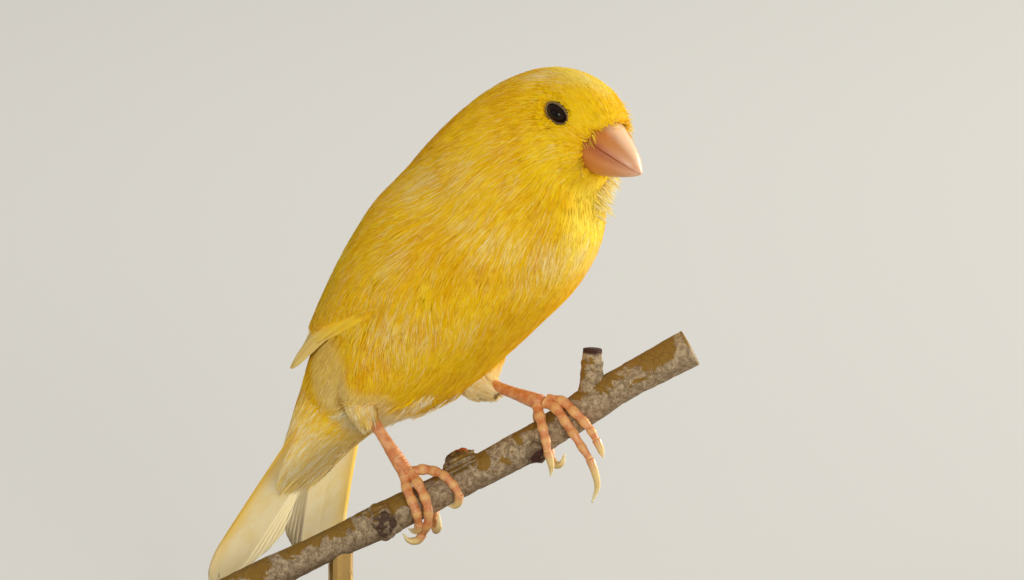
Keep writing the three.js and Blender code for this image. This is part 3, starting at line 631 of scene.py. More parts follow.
# Eyes, lids and bill
bill = {
    "stations": [
        ((44.0, 111.6), (39.6, 99.6), 6.9),
        ((47.2, 108.7), (43.4, 98.7), 5.9),
        ((50.0, 105.6), (46.8, 98.55), 4.0),
        ((51.9, 102.9), (49.8, 98.8), 2.35),
        ((52.6, 100.9), (51.8, 99.15), 1.05),
        ((52.95, 99.9), (52.7, 99.45), 0.32),
    ],
    "tip": (52.8, 99.65),
    "gapeBack": (45.3, 105.4),
}
billTop, billLow, billHalf = ([s[k] for s in bill["stations"]] for k in range(3))


def billSection(share):
    return catmull(billTop, share), catmull(billLow, share), amongst(billHalf, share)


def inBill(points, grow=1.0):
    shares = np.linspace(0, 1, 40)
    top, low, half = billSection(shares)
    middle = (top + low) / 2
    nearest = np.argmin(((points[:, None, [0, 2]] - middle[None]) ** 2).sum(-1), axis=1)
    reach = (top - low) / 2
    size = np.linalg.norm(reach, axis=1)
    up = ((points[:, [0, 2]] - middle[nearest]) * unit(reach)[nearest]).sum(-1) / (size[nearest] * grow)
    side = points[:, 1] / (half[nearest] * grow)
    return (up**2 + side**2 < 1) & (points[:, 0] > 37.5)


makeSkin()
print("skin made")


def eyeShader(tree, place):
    iris = easeNode(tree, attributeNode(tree, "iris"), 0.30, 0.42)
    return {
        "Base Color": mixColours(tree, iris, tint("0a0403"), tint("20110a")),
        "Roughness": 0.07,
        "Specular IOR Level": 0.15,
    }


def lidShader(tree, place):
    grain = noiseNode(tree, place, 3500, 3, 0.6)
    colour = mixColours(tree, easeNode(tree, grain, 0.35, 0.7), tint("6a4e30"), tint("957647"))
    colour = mixColours(tree, easeNode(tree, attributeNode(tree, "inner"), 0.6, 1.0), colour, tint("43301c"))
    return {"Base Color": colour, "Roughness": 0.6, "Normal": bumpNode(tree, grain, 0.5, 0.0001)}


eyeMaterial = newMaterial("darkEye", eyeShader)
lidMaterial = newMaterial("lidSkin", lidShader)


def capPoints(centre, axis, radius, polar, turns):  # rings about the eye's axis
    first = unit(np.cross(axis, np.array([0, 0, 1.0])))
    second = np.cross(axis, first)
    ring = np.cos(turns)[:, None] * first + np.sin(turns)[:, None] * second
    return centre + radius * (math.cos(polar) * axis + math.sin(polar) * ring)


def makeEye(side, name):
    centre, axis = eyeAxis(side)
    around = 40
    turns = 2 * np.pi * np.arange(around) / around
    polars = np.linspace(0, np.pi, 26)[1:-1]
    rings, spread = [], []
    for polar in polars:
        bulge = 0.03 * math.exp(-((polar / 0.42) ** 2))  # the clear front stands a little proud
        rings.append(capPoints(centre, axis, eye["radius"] * (1 + bulge), polar, turns))
        spread += [polar] * around
    points = np.vstack(rings + [centre + axis * eye["radius"] * 1.03, centre - axis * eye["radius"]])
    high = eyeFrame(side)[3]
    points = points - ((points - centre) @ high * (1 - eye["squeeze"]))[:, None] * high
    faces = [face[::-1] for face in tubeFaces(len(polars), around)]
    ball = meshObject("eyeball_" + name, points, faces, eyeMaterial, values={"iris": spread + [0, math.pi]})
    settle(ball, "eye", "eye_" + name)


def lidEdge(side, turns):  # the slightly long opening, its front end lower
    long, high = eyeFrame(side)[2:]
    offset = np.cos(turns)[:, None] * long * eye["long"] + np.sin(turns)[:, None] * high * eye["high"]
    reach = np.linalg.norm(offset, axis=1)
    taller = eye["high"] / eye["squeeze"] * np.sin(turns)
    return offset, reach, np.sqrt(eye["radius"] ** 2 - (eye["long"] * np.cos(turns)) ** 2 - taller**2)


def makeLid(side, name):  # a soft ring that lies on the eyeball, open in front
    centre, axis = eyeAxis(side)
    sides, around = 12, 84
    turns = 2 * np.pi * np.arange(around) / around
    offset, reach, rise = lidEdge(side, turns)
    points, inner = [], []
    for i, turn in enumerate(turns):
        radial = offset[i] / reach[i]
        for k in range(sides):
            spin = 2 * math.pi * k / sides
            across = eye["lidWidth"] * (0.5 + 0.5 * math.cos(spin)) + 0.03 * math.sin(11 * turn)
            height = 0.19 * math.sin(spin) - 0.26 * max(0, math.cos(spin)) + 0.14
            points.append(centre + radial * (reach[i] - 0.05 + across) + axis * (rise[i] + height))
            inner.append(0.5 - 0.5 * math.cos(spin))
    faces = []
    for i in range(around):
        for k in range(sides):
            a, b = i * sides + k, i * sides + (k + 1) % sides
            c, d = (i + 1) % around * sides + k, (i + 1) % around * sides + (k + 1) % sides
            faces.append((a, c, d, b))
    lid = meshObject("lid_" + name, points, faces, lidMaterial, values={"inner": inner})
    settle(facedOut(lid), "leg_skin")


def makeBeads(side, name, count=30):  # along the lid's outer edge
    centre, axis = eyeAxis(side)
    offset, reach, rise = lidEdge(side, 2 * np.pi * np.arange(count) / count)
    radial = offset / reach[:, None]
    places = centre + radial * (reach + eye["lidWidth"] * 0.84)[:, None] + axis * (rise[:, None] + 0.1)
    plant("lidBeads_" + name, beadItem(), places, radial + 0.9 * axis, np.ones(count), beadMaterial,
          "leg_skin", uneven=0.3, seed=5)


def beadItem():  # a drop the size of a lid bead
    rings = [(0.15, -0.06), (0.19, 0.06), (0.12, 0.18)]
    turns = 2 * np.pi * np.arange(8) / 8
    points = [(r * math.cos(t), r * math.sin(t), z) for r, z in rings for t in turns]
    points += [(0, 0, -0.12), (0, 0, 0.24)]
    return meshObject("bead", points, tubeFaces(len(rings), len(turns)), lidMaterial)


def beadShader(tree, place):
    grain = noiseNode(tree, place, 5200, 2, 0.5)
    return {"Base Color": mixColours(tree, easeNode(tree, grain, 0.3, 0.7), tint("60471f"), tint("a78640")),
            "Roughness": 0.6, "Normal": bumpNode(tree, grain, 0.3, 0.00005)}


beadMaterial = newMaterial("lidBead", beadShader)
for side, name in ((rightSide, "right"), (leftSide, "left")):
    makeEye(side, name)
    makeLid(side, name)
    makeBeads(side, name)


def billShader(tree, place):
    along, gape = attributeNode(tree, "along"), attributeNode(tree, "gape")
    streaks = noiseNode(tree, stretched(tree, place, (1, 1, 3)), 260, 4, 0.6)
    colour = mixColours(tree, easeNode(tree, along, 0.15, 0.9), tint("c8792c"), tint("e2b08c"))
    colour = mixColours(tree, easeNode(tree, streaks, 0.4, 0.72, 0.0, 0.28), colour, tint("c4713a"))
    # painted highlight: a pale line along the top of the upper mandible
    culmenHighlight = easeNode(tree, attributeNode(tree, "culmenHighlight"), 0.75, 1.0, 0.0, 0.6)
    colour = mixColours(tree, culmenHighlight, colour, tint("f6d3ae"))
    # painted shade: darker along the cutting edges where the two mandibles meet, more towards the base
    dark = easeNode(tree, gape, 0.0, 1.0, 1.0, 0.0)
    dark = mathNode(tree, "MULTIPLY", dark, easeNode(tree, along, 0.15, 0.75, 0.8, 0.3))
    colour = mixColours(tree, dark, colour, tint("a04a26"))
    return {
        "Base Color": colour,
        "Roughness": 0.38,
        "Specular IOR Level": 0.3,
        "Subsurface Weight": 0.12,
        "Subsurface Radius": (1.0, 0.45, 0.3),
        "Subsurface Scale": 0.0008,
        "Coat Weight": 0.2,
        "Coat Roughness": 0.25,
        "Normal": bumpNode(tree, streaks, 0.25, 0.0001),
    }


billMaterial = newMaterial("billHorn", billShader)


def makeBill(upper):
    tip, back = np.array(bill["tip"]), np.array(bill["gapeBack"])
    run = unit(tip - back)
    normal = np.array([-run[1], run[0]])
    shares = np.linspace(0.02, 0.985, 44)
    top, low, half = billSection(shares)
    sides = 40
    rings, along, gape, culmenHighlight = [], [], [], []
    for i, share in enumerate(shares):
        middle, reach = (top[i] + low[i]) / 2, (top[i] - low[i]) / 2
        level = (middle - tip) @ normal
        span = reach @ normal
        cosine = float(np.clip(-(level - (0.05 if upper else -0.05)) / span, -0.98, 0.98))
        edge = math.acos(cosine)
        turns = np.linspace(-edge, edge, sides) if upper else np.linspace(edge, 2 * math.pi - edge, sides)
        keel = 1 - 0.07 * np.abs(np.sin(2 * turns)) * (1 if upper else 0.4)
        x, z = (middle[k] + reach[k] * np.cos(turns) * keel for k in (0, 1))
        rings.append(np.stack([x, half[i] * np.sin(turns) * keel, z], 1))
        along += [share] * sides
        edgeness = np.minimum(np.arange(sides), sides - 1 - np.arange(sides)) / 5.0
        gape += list(np.clip(edgeness, 0, 1))
        # mask of the painted highlight: 1 along the culmen, none on the lower mandible
        culmenHighlight += list(np.cos(turns) if upper else np.zeros(sides))
    points = np.vstack(rings)
    faces = ringFaces(len(shares), sides)
    faces.append(tuple(range(sides))[::-1])
    faces.append(tuple((len(shares) - 1) * sides + k for k in range(sides)))
    if upper:
        for side in (rightSide, leftSide):  # nostril pits near the base
            pit = np.array([48.0, side * 2.9, 106.6])
            near = bump(np.linalg.norm(points - pit, axis=1), 0, 0.55)
            points = points - near[:, None] * 0.45 * unit(pit - np.array([45.5, 0, 103.5]))
    name, values = "billUpper" if upper else "billLower", {"along": along, "gape": gape, "culmenHighlight": culmenHighlight}
    piece = facedOut(meshObject(name, points, faces, billMaterial, values=values))
    return settle(piece, "horn", "bill_upper" if upper else "bill_lower")


makeBill(True)
makeBill(False)
print("face made")


# Body feathers
patchSize = 0.003  # of a strand's place on the OFBake map
strandFaces = [(0, 1, 2), (0, 3, 4, 1), (3, 5, 4), (1, 4, 2), (4, 5, 2), (2, 3, 0), (2, 5, 3)]


def lieAt(station, angle):  # how far the feathers turn from the tailward line towards the belly
    fold, sign = foldOf(angle)
    turned = -30 * bump(station, at("neck") + 0.7, 1.7) * bump(fold, 66, 26)
    turned += 34 * bump(station, at("keel") + 0.8, 1.9) * bump(fold, 110, 26)
    turned += 24 * bump(station, at("shoulder") - 0.3, 2.0) * bump(fold, 148, 26)
    turned -= 14 * bump(station, at("eyes") + 0.4, 1.3) * bump(fold, 50, 22)
    turned += 16 * bump(station, at("eyes") + 0.6, 1.3) * bump(fold, 105, 22)
    return turned * sign


# Pale bands: the station and how wide, the angle and how wide, and how pale
frostBands = (
    (8.1, 0.9, 66, 22, 0.62),
    (7.2, 0.7, 78, 20, 0.5),
    (8.0, 0.8, 118, 26, 0.62),
    (10.1, 1.1, 84, 15, 0.6),
    (11.6, 0.8, 106, 24, 0.6),
    (11.0, 0.6, 140, 14, 0.3),
    # the next two bands, on the front of the breast, are cream feather tips made stronger as a painted
    # highlight where the key light strikes that edge
    (7.9, 1.3, 158, 20, 0.75),
    (7.6, 1.2, 181, 15, 0.95),
    (9.0, 0.6, 150, 18, 0.45),
    (6.1, 0.7, 96, 34, 0.25),
    (13.9, 0.8, 98, 24, 0.6),
    (14.2, 0.9, 116, 24, 0.7),
    (4.3, 1.0, 22, 13, 0.7),
    (2.9, 1.1, 0, 15, 0.6),
    (3.3, 0.9, 100, 22, 0.18),
    (16.5, 1.2, 150, 60, 0.5),
)


def frostAt(station, angle, places):
    fold = foldOf(angle)[0]
    amount = np.zeros(len(station))
    for s, sWide, a, aWide, strength in frostBands:
        amount = np.maximum(amount, strength * bump(station, s, sWide) * bump(fold, a, aWide))
    amount = np.where(onWing(station, angle), np.maximum(amount * 0.6, 0.14), amount)
    patches = softNoise(places, 3.4, 5) * 0.6 + softNoise(places, 1.3, 6) * 0.4
    return np.clip(amount * (0.35 + 1.3 * patches), 0, 1)


def scatter(form, uRange, vRange, perSquare, rng, steps=(120, 180)):  # places spread evenly over a form
    us, vs = np.linspace(*uRange, steps[0] + 1), np.linspace(*vRange, steps[1] + 1)
    u, v = np.meshgrid((us[1:] + us[:-1]) / 2, (vs[1:] + vs[:-1]) / 2, indexing="ij")
    u, v = u.ravel(), v.ravel()
    along, around = framesOf(form, u, v)[:2]
    area = np.linalg.norm(np.cross(along, around), axis=1) * (us[1] - us[0]) * (vs[1] - vs[0])
    count = np.floor(area * perSquare(u) + rng.random(len(u))).astype(int)
    u, v = np.repeat(u, count), np.repeat(v, count)
    u = u + (rng.random(len(u)) - 0.5) * (us[1] - us[0])
    v = v + (rng.random(len(v)) - 0.5) * (vs[1] - vs[0])
    return u, v


def wavesAt(places, style):  # slow and quick wandering of the lie, in degrees
    slow = (softNoise(places, 6.0, 21) - 0.5) * style.get("wave", 26)
    return slow + (softNoise(places, 2.2, 22) - 0.5) * style.get("ripple", 11)


def flowTone(form, u, v, style, size=0.26, step=0.6, steps=5):  # much the same all along a line of the lie
    def tones(a, b):
        places = form(a, b)
        return np.stack([softNoise(places, size, 51), softNoise(places, size * 1.15, 52)])

    total = tones(u, v)
    for direction in (1, -1):
        a, b = u.copy(), v.copy()
        for _ in range(steps):
            alongSize, aroundSize = (np.linalg.norm(way, axis=1) for way in framesOf(form, a, b)[:2])
            turn = np.radians(style["lie"](a, b) + wavesAt(form(a, b), style))
            a = np.clip(a + direction * step * np.cos(turn) / alongSize, 0.03, style["uMost"])
            b = b + direction * step * np.sin(turn) / aroundSize
            total = total + tones(a, b)
    total = total / (2 * steps + 1)
    return (total - total.mean(1, keepdims=True)) / total.std(1, keepdims=True)


def growStrands(form, u, v, style, rng):  # one row of six corners for each strand
    strands = style["strands"]
    n = len(u)
    size = n * strands
    alongSize, aroundSize = (np.linalg.norm(way, axis=1) for way in framesOf(form, u, v)[:2])
    roots = form(u, v)
    lie = np.repeat(style["lie"](u, v) + wavesAt(roots, style), strands)
    heading = np.radians(lie + rng.normal(0, style.get("fan", 3.4), size))
    length = np.repeat(style["length"](u) * rng.uniform(0.85, 1.15, n), strands)
    length = length * rng.uniform(0.72, 1.08, size)
    width = np.repeat(style["width"](u), strands) * rng.uniform(0.75, 1.2, size)
    depth = np.repeat(style["depth"](u), strands)
    order = np.tile(np.arange(strands), n)
    spread = (order - (strands - 1) / 2) / strands
    sideways = np.repeat(style["width"](u), strands) * strands * 0.62 * spread
    backwards = rng.uniform(-0.3, 0.3, size)
    tuft = np.repeat(np.arange(n), strands)
    tipLift = rng.uniform(*style.get("tips", (-0.02, 0.12)), size)
    upper = rng.random(size) < 0.17  # slim hairs that lie over the rest
    depth, width = np.where(upper, depth * 0.16, depth), np.where(upper, width * 0.72, width)
    tipLift = np.where(upper, tipLift + 0.07, tipLift)
    bendBack = rng.normal(0, np.radians(style.get("curl", 5)), size) * np.where(upper, 0.5, 1)
    centres, normals = [], []
    for share in (0.0, 0.5, 1.0):
        turn = heading + bendBack * share
        d = length * share
        forward = backwards + d * np.cos(turn) - sideways * np.sin(turn)
        across = d * np.sin(turn) + sideways * np.cos(turn) * (1 + 0.5 * share)
        uu = u[tuft] + forward / alongSize[tuft]
        vv = v[tuft] + across / aroundSize[tuft]
        uu = np.clip(uu, 0.03, style["uMost"])
        height = -depth * 1.15 * (1 - share) ** 1.7 + 0.1 + tipLift * share + style["swell"](uu, vv)
        frameNormal = framesOf(form, uu, vv)[2]
        centres.append(form(uu, vv) + height[:, None] * frameNormal)
        normals.append(frameNormal)
        tipPlace = (uu, vv) if share < 0.9 else tipPlace
    rows = []
    for k, broad in ((0, 0.8), (1, 1.0)):
        tangent = unit(centres[k + 1] - centres[k])
        side = unit(np.cross(normals[k], tangent))
        half = (width * 0.5 * broad)[:, None]
        rows += [centres[k] - side * half, centres[k] + side * half]
        if k == 0:
            rows.append(centres[k] - np.cross(tangent, side) * half * 0.6)
    rows.append(centres[2])
    corners = np.stack(rows, 1)
    streaks = flowTone(form, *tipPlace, style)
    middle, spread = style.get("tone", (0.52, 0.13))
    tone = np.clip(middle + spread * streaks[0] + rng.normal(0, 0.05, size), 0, 1)
    given = np.repeat(style["frost"](u, v, roots), strands)
    frost = np.clip(given * (0.62 + 0.62 * streaks[1]), 0, 1) + np.clip(0.13 * (streaks[1] - 1.5), 0, 0.3)
    frost = np.clip(frost * rng.uniform(0.8, 1.15, size), 0, 1)
    fair = rng.random(size) < 1.35 * given
    crisp = np.where(fair, rng.uniform(0.62, 1.0, size) * (0.75 + 0.3 * given), rng.uniform(0, 0.2, size))
    frost = np.clip(np.where(upper, crisp, frost * style.get("frosting", 0.56)), 0, 1)
    rootU = style["patchU"](u, v)[tuft] + patchSize * order / strands
    rootV = style["patchV"](u, v)[tuft]
    step = patchSize / strands
    return {"corners": corners, "tone": tone, "frost": frost, "u": rootU, "v": rootV, "step": step}


def keepStrands(grown, keep):
    return {k: (value[keep] if isinstance(value, np.ndarray) else value) for k, value in grown.items()}


def coatPiece(name, grown):
    corners = np.concatenate([g["corners"] for g in grown])
    n = len(corners)
    mesh = bpy.data.meshes.new(name)
    mesh.vertices.add(n * 6)
    mesh.vertices.foreach_set("co", (corners.reshape(-1, 3) * 0.001).astype(np.float32).ravel())
    pattern = np.concatenate([np.array(face) for face in strandFaces])
    sizes = np.array([len(face) for face in strandFaces])
    loops = (np.arange(n)[:, None] * 6 + pattern).ravel()
    mesh.loops.add(len(loops))
    mesh.loops.foreach_set("vertex_index", loops.astype(np.int32))
    starts = (np.arange(n)[:, None] * len(pattern) + np.cumsum(sizes) - sizes).ravel()
    mesh.polygons.add(len(starts))
    mesh.polygons.foreach_set("loop_start", starts.astype(np.int32))
    mesh.update(calc_edges=True)
    mesh.polygons.foreach_set("use_smooth", np.zeros(len(starts), bool))
    acrossShare, alongShare = np.array([0, 1, 0.5, 0, 1, 0.5]), np.array([0, 0, 0, 0.5, 0.5, 1.0])
    rootU, rootV = (np.concatenate([g[key] for g in grown]) for key in ("u", "v"))
    tone, frost = (np.repeat(np.concatenate([g[key] for g in grown]), 6) for key in ("tone", "frost"))
    setValues(mesh, {"along": np.tile(alongShare, n), "tone": tone, "frost": frost})
    step = np.concatenate([np.full(len(g["u"]), g["step"]) for g in grown])
    uv = np.stack([rootU[:, None] + step[:, None] * acrossShare, rootV[:, None] + patchSize * alongShare], -1)
    layer = mesh.uv_layers.new(name="OFBake")
    layer.data.foreach_set("uv", uv.reshape(-1, 2)[loops].astype(np.float32).ravel())
    mesh.materials.append(coatMaterial)
    print(f"{name}: {n} strands, {n * 8} triangles")
    return settle(shown(name, mesh), "plumage")


def vanesShow(station, angle, rng):  # where the wing's blades are left bare
    ends = coverEnd(station, angle) + 0.5 * (rng.random(len(station)) - 0.5)
    return onWing(station, angle) & (station > ends)


def bodyPatchU(u, v):
    return 0.01 + 0.975 * (v % 360) / 360


def bodyPatchV(u, v):
    return 0.01 + 0.80 * u / lastStation


def bodyStyle(strands, **changes):
    style = {
        "strands": strands,
        "lie": lieAt,
        "length": lambda u: coatAt("length", u),
        "width": lambda u: coatAt("width", u),
        "depth": lambda u: coatAt("depth", u),
        "frost": frostAt,
        "swell": coatSwell,
        "patchU": bodyPatchU,
        "patchV": bodyPatchV,
        "uMost": lastStation - 0.03,
    }
    style.update(changes)
    return style


def bodyCoat(name, uRange, strands):
    rng = np.random.default_rng(coat["seed"] + int(uRange[0] * 10))
    u, v = scatter(bareBody, uRange, (0, 360), lambda s: coatAt("perSquare", s), rng)
    roots = bareBody(u, v)
    keep = ~vanesShow(u, v, rng) & ~inBill(roots, 1.04) & (nearEye(roots) > eye["reach"] + 0.02)
    style = bodyStyle(strands)
    if uRange[0] < 6:  # shorter towards the eye
        near = np.clip((nearEye(roots[keep]) - 2.2) / 3.5, 0.25, 1)
        style["length"] = lambda s: coatAt("length", s) * near
    grown = growStrands(bareBody, u[keep], v[keep], style, rng)
    ends = grown["corners"][:, [3, 5]].reshape(-1, 3)
    clear = (nearEye(ends) > eye["reach"] - 0.2) & ~inBill(ends, 1.0)
    return coatPiece(name, [keepStrands(grown, clear.reshape(-1, 2).all(1))])


# Stations from which each coat starts and where it ends, and the strands in a tuft
coatRuns = {
    "coatFace": ((0.35, 3.2), 5),
    "coatHead": ((3.2, 5.6), 5),
    "coatNeck": ((5.6, 7.6), 6),
    "coatCollar": ((7.6, 9.0), 6),
    "coatBreast": ((9.0, 10.2), 6),
    "coatSide": ((10.2, 11.5), 6),
    "coatFlank": ((11.5, 13.0), 6),
    "coatBelly": ((13.0, 15.0), 6),
    "coatRump": ((15.0, 17.9), 6),
}
for name, (uRange, strands) in coatRuns.items():
    bodyCoat(name, uRange, strands)
print("body feathers made")


# Loose down round the legs
def trouserForm(side):
    knee, heel, toward = (np.array(legs[side][key]) for key in ("knee", "heel", "toward"))
    down = unit(toward - heel) * legs[side]["run"]
    inward = np.array([0, -0.8 * side, 0])
    line = [knee + inward, (knee + heel) / 2 + inward, heel + inward, heel + down * 0.5, heel + down]

    def form(u, v):
        radius = amongst(legs[side]["radii"], u)[..., None]
        axis = unit(softCurve(line, u + 0.01) - softCurve(line, u - 0.01))
        first = unit(np.cross(axis, np.array([0, 1.0, 0.2])))
        second = np.cross(first, axis)
        turn = np.radians(v)[..., None]
        return softCurve(line, u) + radius * (np.cos(turn) * first + np.sin(turn) * second)

    return form


def looseStyle(strands, **changes):  # down that hangs free of the skin
    style = bodyStyle(
        strands,
        lie=even(0),
        depth=even(0.5),
        swell=even(0),
        wave=30,
        ripple=18,
        fan=6,
        curl=9,
        frosting=1.3,
        tips=(-0.1, 0.6),
    )
    style.update(changes)
    return style


# Places on the body where more down hangs: stations, angles, tufts per square millimetre, how pale
bellyDown = (
    ((12.95, 13.5), (150, 166), 3.0, 0.97),
    ((13.5, 14.9), (116, 172), 1.5, 0.75),
    ((12.9, 14.0), (190, 232), 2.4, 0.97),
)


def makeThighCoat():
    grown = []
    for side in (rightSide, leftSide):
        rng = np.random.default_rng(40 + side)
        form, least = trouserForm(side), legs[side]["frost"]

        def paleness(s, a, p):
            return np.clip(least + 0.7 * ramp(s, 0.5, 0.9) + 0.3 * (softNoise(p, 2.5, 8) - 0.6), 0, 0.97)

        u, v = scatter(form, (0.4, 0.76), (0, 360), even(5.2), rng, (40, 60))
        style = looseStyle(
            5,
            length=lambda s: np.interp(s, [0, 0.6, 0.76], [5.0, 4.4, 3.0]),
            width=even(0.14),
            frost=paleness,
            patchU=lambda s, a: (0.01 if side < 0 else 0.5) + 0.45 * (a % 360) / 360,
            patchV=lambda s, a: 0.84 + 0.14 * s,
            uMost=0.99,
            fan=11,
        )
        grown.append(growStrands(form, u, v, style, rng))
    for stations, angles, many, frost in bellyDown:
        rng = np.random.default_rng(int(stations[0] * 10) + angles[0])
        u, v = scatter(bareBody, stations, angles, even(many), rng, (20, 30))
        style = looseStyle(
            5,
            length=even(4.6),
            width=even(0.14),
            swell=lambda s, a: coatSwell(s, a) + 0.1,
            frost=even(frost),
            tips=(0.0, 0.9),
        )
        grown.append(growStrands(bareBody, u, v, style, rng))
    return coatPiece("coatThighs", grown)


makeThighCoat()

# Soft coverts that carry the rump's feathers on over the root of the tail
covertForm = {
    "vent": ((-24.6, 57.2), (-9.0, 46.0), 9.2),
    "under": ((-26.6, 51.2), (-15.4, 42.0), 9.3),
    "root": ((-28.0, 45.4), (-21.0, 38.0), 9.2),
    "onTail": ((-29.6, 39.4), (-26.0, 34.0), 9.0),
    "end": ((-31.6, 33.4), (-30.2, 30.0), 8.6),
    "past": ((-34.0, 27.6), (-33.4, 25.4), 8.0),
}


def covertSkin(u, v):  # u from 0 at the vent to 1 on the tail
    rows = list(covertForm.values())
    back, belly = (catmull([row[k] for row in rows], u) for k in (0, 1))
    half = amongst([row[2] for row in rows], u)
    turn = np.radians(v)
    middle, reach = (back + belly) / 2, (back - belly) / 2
    flat = np.sign(np.cos(turn)) * np.abs(np.cos(turn)) ** 0.85
    x, z = (middle[..., k] + reach[..., k] * flat for k in (0, 1))
    return np.stack([x, -half * np.sin(turn), z], -1)


def makeCoverts():
    rng = np.random.default_rng(71)
    thinning = ([0, 0.3, 0.62], [3.0, 2.4, 0.7])
    u, v = scatter(covertSkin, (0.03, 0.62), (0, 360), lambda s: np.interp(s, *thinning), rng, (50, 90))
    uneven = np.random.default_rng(72).uniform(0.6, 1.1, len(u))
    style = bodyStyle(
        5,
        lie=even(0),
        length=lambda s: np.interp(s, [0, 0.62], [6.5, 9.5]) * uneven,
        width=even(0.28),
        depth=even(0.35),
        frost=lambda s, a, p: np.clip(0.4 + 1.8 * s + 0.3 * (softNoise(p, 3.5, 12) - 0.5), 0, 0.98),
        swell=even(-0.2),
        wave=12,
        ripple=6,
        frosting=1.4,
        tone=(0.72, 0.08),
        tips=(-0.5, 0.0),
        patchU=lambda s, a: 0.01 + 0.97 * (a % 360) / 360,
        patchV=lambda s, a: 0.02 + 0.9 * s,
        uMost=1.0,
    )
    return coatPiece("coatTailCoverts", [growStrands(covertSkin, u, v, style, rng)])


makeCoverts()

# Bristles about the bill
bristleKeys = ("count", "stations", "angles", "heading", "size", "frost")
bristles = {
    "chin": (190, (3.2, 6.4), (192, 248), (0.5, 0.3, -0.6), 3.4, 0.95),
    "forehead": (130, (0.7, 2.5), (-80, 30), (0.6, 0.25, 0.0), 1.7, 0.3),
    "nasalRight": (80, (1.4, 2.1), (30, 84), (0.62, -0.1, -0.75), 1.6, 0.1),
    "nasalLeft": (80, (1.4, 2.1), (276, 330), (0.62, 0.1, -0.75), 1.6, 0.1),
    "gapeRight": (60, (1.7, 2.7), (90, 136), (0.5, -0.45, -0.35), 1.5, 0.2),
    "gapeLeft": (60, (1.7, 2.7), (224, 270), (0.5, 0.45, -0.35), 1.5, 0.2),
}


def bristleItem():  # a slim curved hair, one millimetre long
    levels = [(0.0, 0.045), (0.3, 0.04), (0.65, 0.026)]
    turns = 2 * np.pi * np.arange(3) / 3
    points = [(r * math.cos(t) + 0.12 * z * z, r * math.sin(t), z) for z, r in levels for t in turns]
    points.append((0.12, 0, 1.0))
    faces = ringFaces(3, 3) + [(2, 1, 0)] + [(6 + k, 6 + (k + 1) % 3, 9) for k in range(3)]
    return meshObject("hair", points, faces, bristleMaterial, values={"along": [z for _x, _y, z in points]})


def bristleShader(tree, place):
    frost = attributeNode(tree, "frost")
    colour = mixColours(tree, 0.5, markings(tree, place), plumage["bright"])
    colour = mixColours(tree, frost, colour, tint("fff0b4"))
    return {"Base Color": colour, "Roughness": 0.6, "Specular IOR Level": 0.1}


bristleMaterial = newMaterial("faceBristles", bristleShader)


def makeBristles():
    places, headings, sizes, frost, tone, rootU, rootV = [], [], [], [], [], [], []
    rng = np.random.default_rng(17)
    for given in bristles.values():
        kind = dict(zip(bristleKeys, given))
        n = kind["count"]
        u, v = rng.uniform(*kind["stations"], n), rng.uniform(*kind["angles"], n)
        places.append(lifted(bareBody, u, v, np.full(n, -0.3)))
        normals = framesOf(bareBody, u, v)[2]
        headings.append(unit(np.array(kind["heading"]) + 0.55 * normals + rng.normal(0, 0.13, (n, 3))))
        sizes.append(kind["size"] * rng.uniform(0.55, 1.15, n))
        frost.append(np.clip(kind["frost"] * rng.uniform(0.4, 1.3, n), 0, 1))
        tone.append(rng.uniform(0.2, 0.9, n))
        rootU.append(bodyPatchU(u, v))
        rootV.append(bodyPatchV(u, v))
    values = {"tone": tone, "frost": frost, "rootU": rootU, "rootV": rootV}
    values = {key: np.concatenate(lists) for key, lists in values.items()}
    mesh = plant("bristles", bristleItem(), np.vstack(places), np.vstack(headings), np.concatenate(sizes),
                 bristleMaterial, "plumage", values=values).data
    layer = mesh.uv_layers.new(name="OFBake")
    got = {key: np.array([d.value for d in mesh.attributes[key].data]) for key in ("rootU", "rootV", "along")}
    corner = np.array([loop.vertex_index for loop in mesh.loops])
    side = (corner % 10 % 3) / 3 * patchSize
    uv = np.stack([got["rootU"][corner] + side, got["rootV"][corner] + patchSize * got["along"][corner]], 1)
    layer.data.foreach_set("uv", uv.astype(np.float32).ravel())


makeBristles()

# Flight feathers
vaneTints = {
    # the wing's line colour is partly a painted shadow under the flank feathers and partly a darker feather
    # edge
    "wing": {"low": "fac000", "high": "facb10", "edge": "f8d648", "tone": "f8d23c", "pale": "f7e3a4",
             "shaft": "d8a41c", "barb": "dca414", "line": "8f6420"},
    "tail": {"low": "ecd38e", "high": "f0dfae", "edge": "f3e6c2", "tone": "f3e4bc", "pale": "eddcb2",
             "shaft": "dcc488", "barb": "d6bd84", "line": "efc02c"},
}


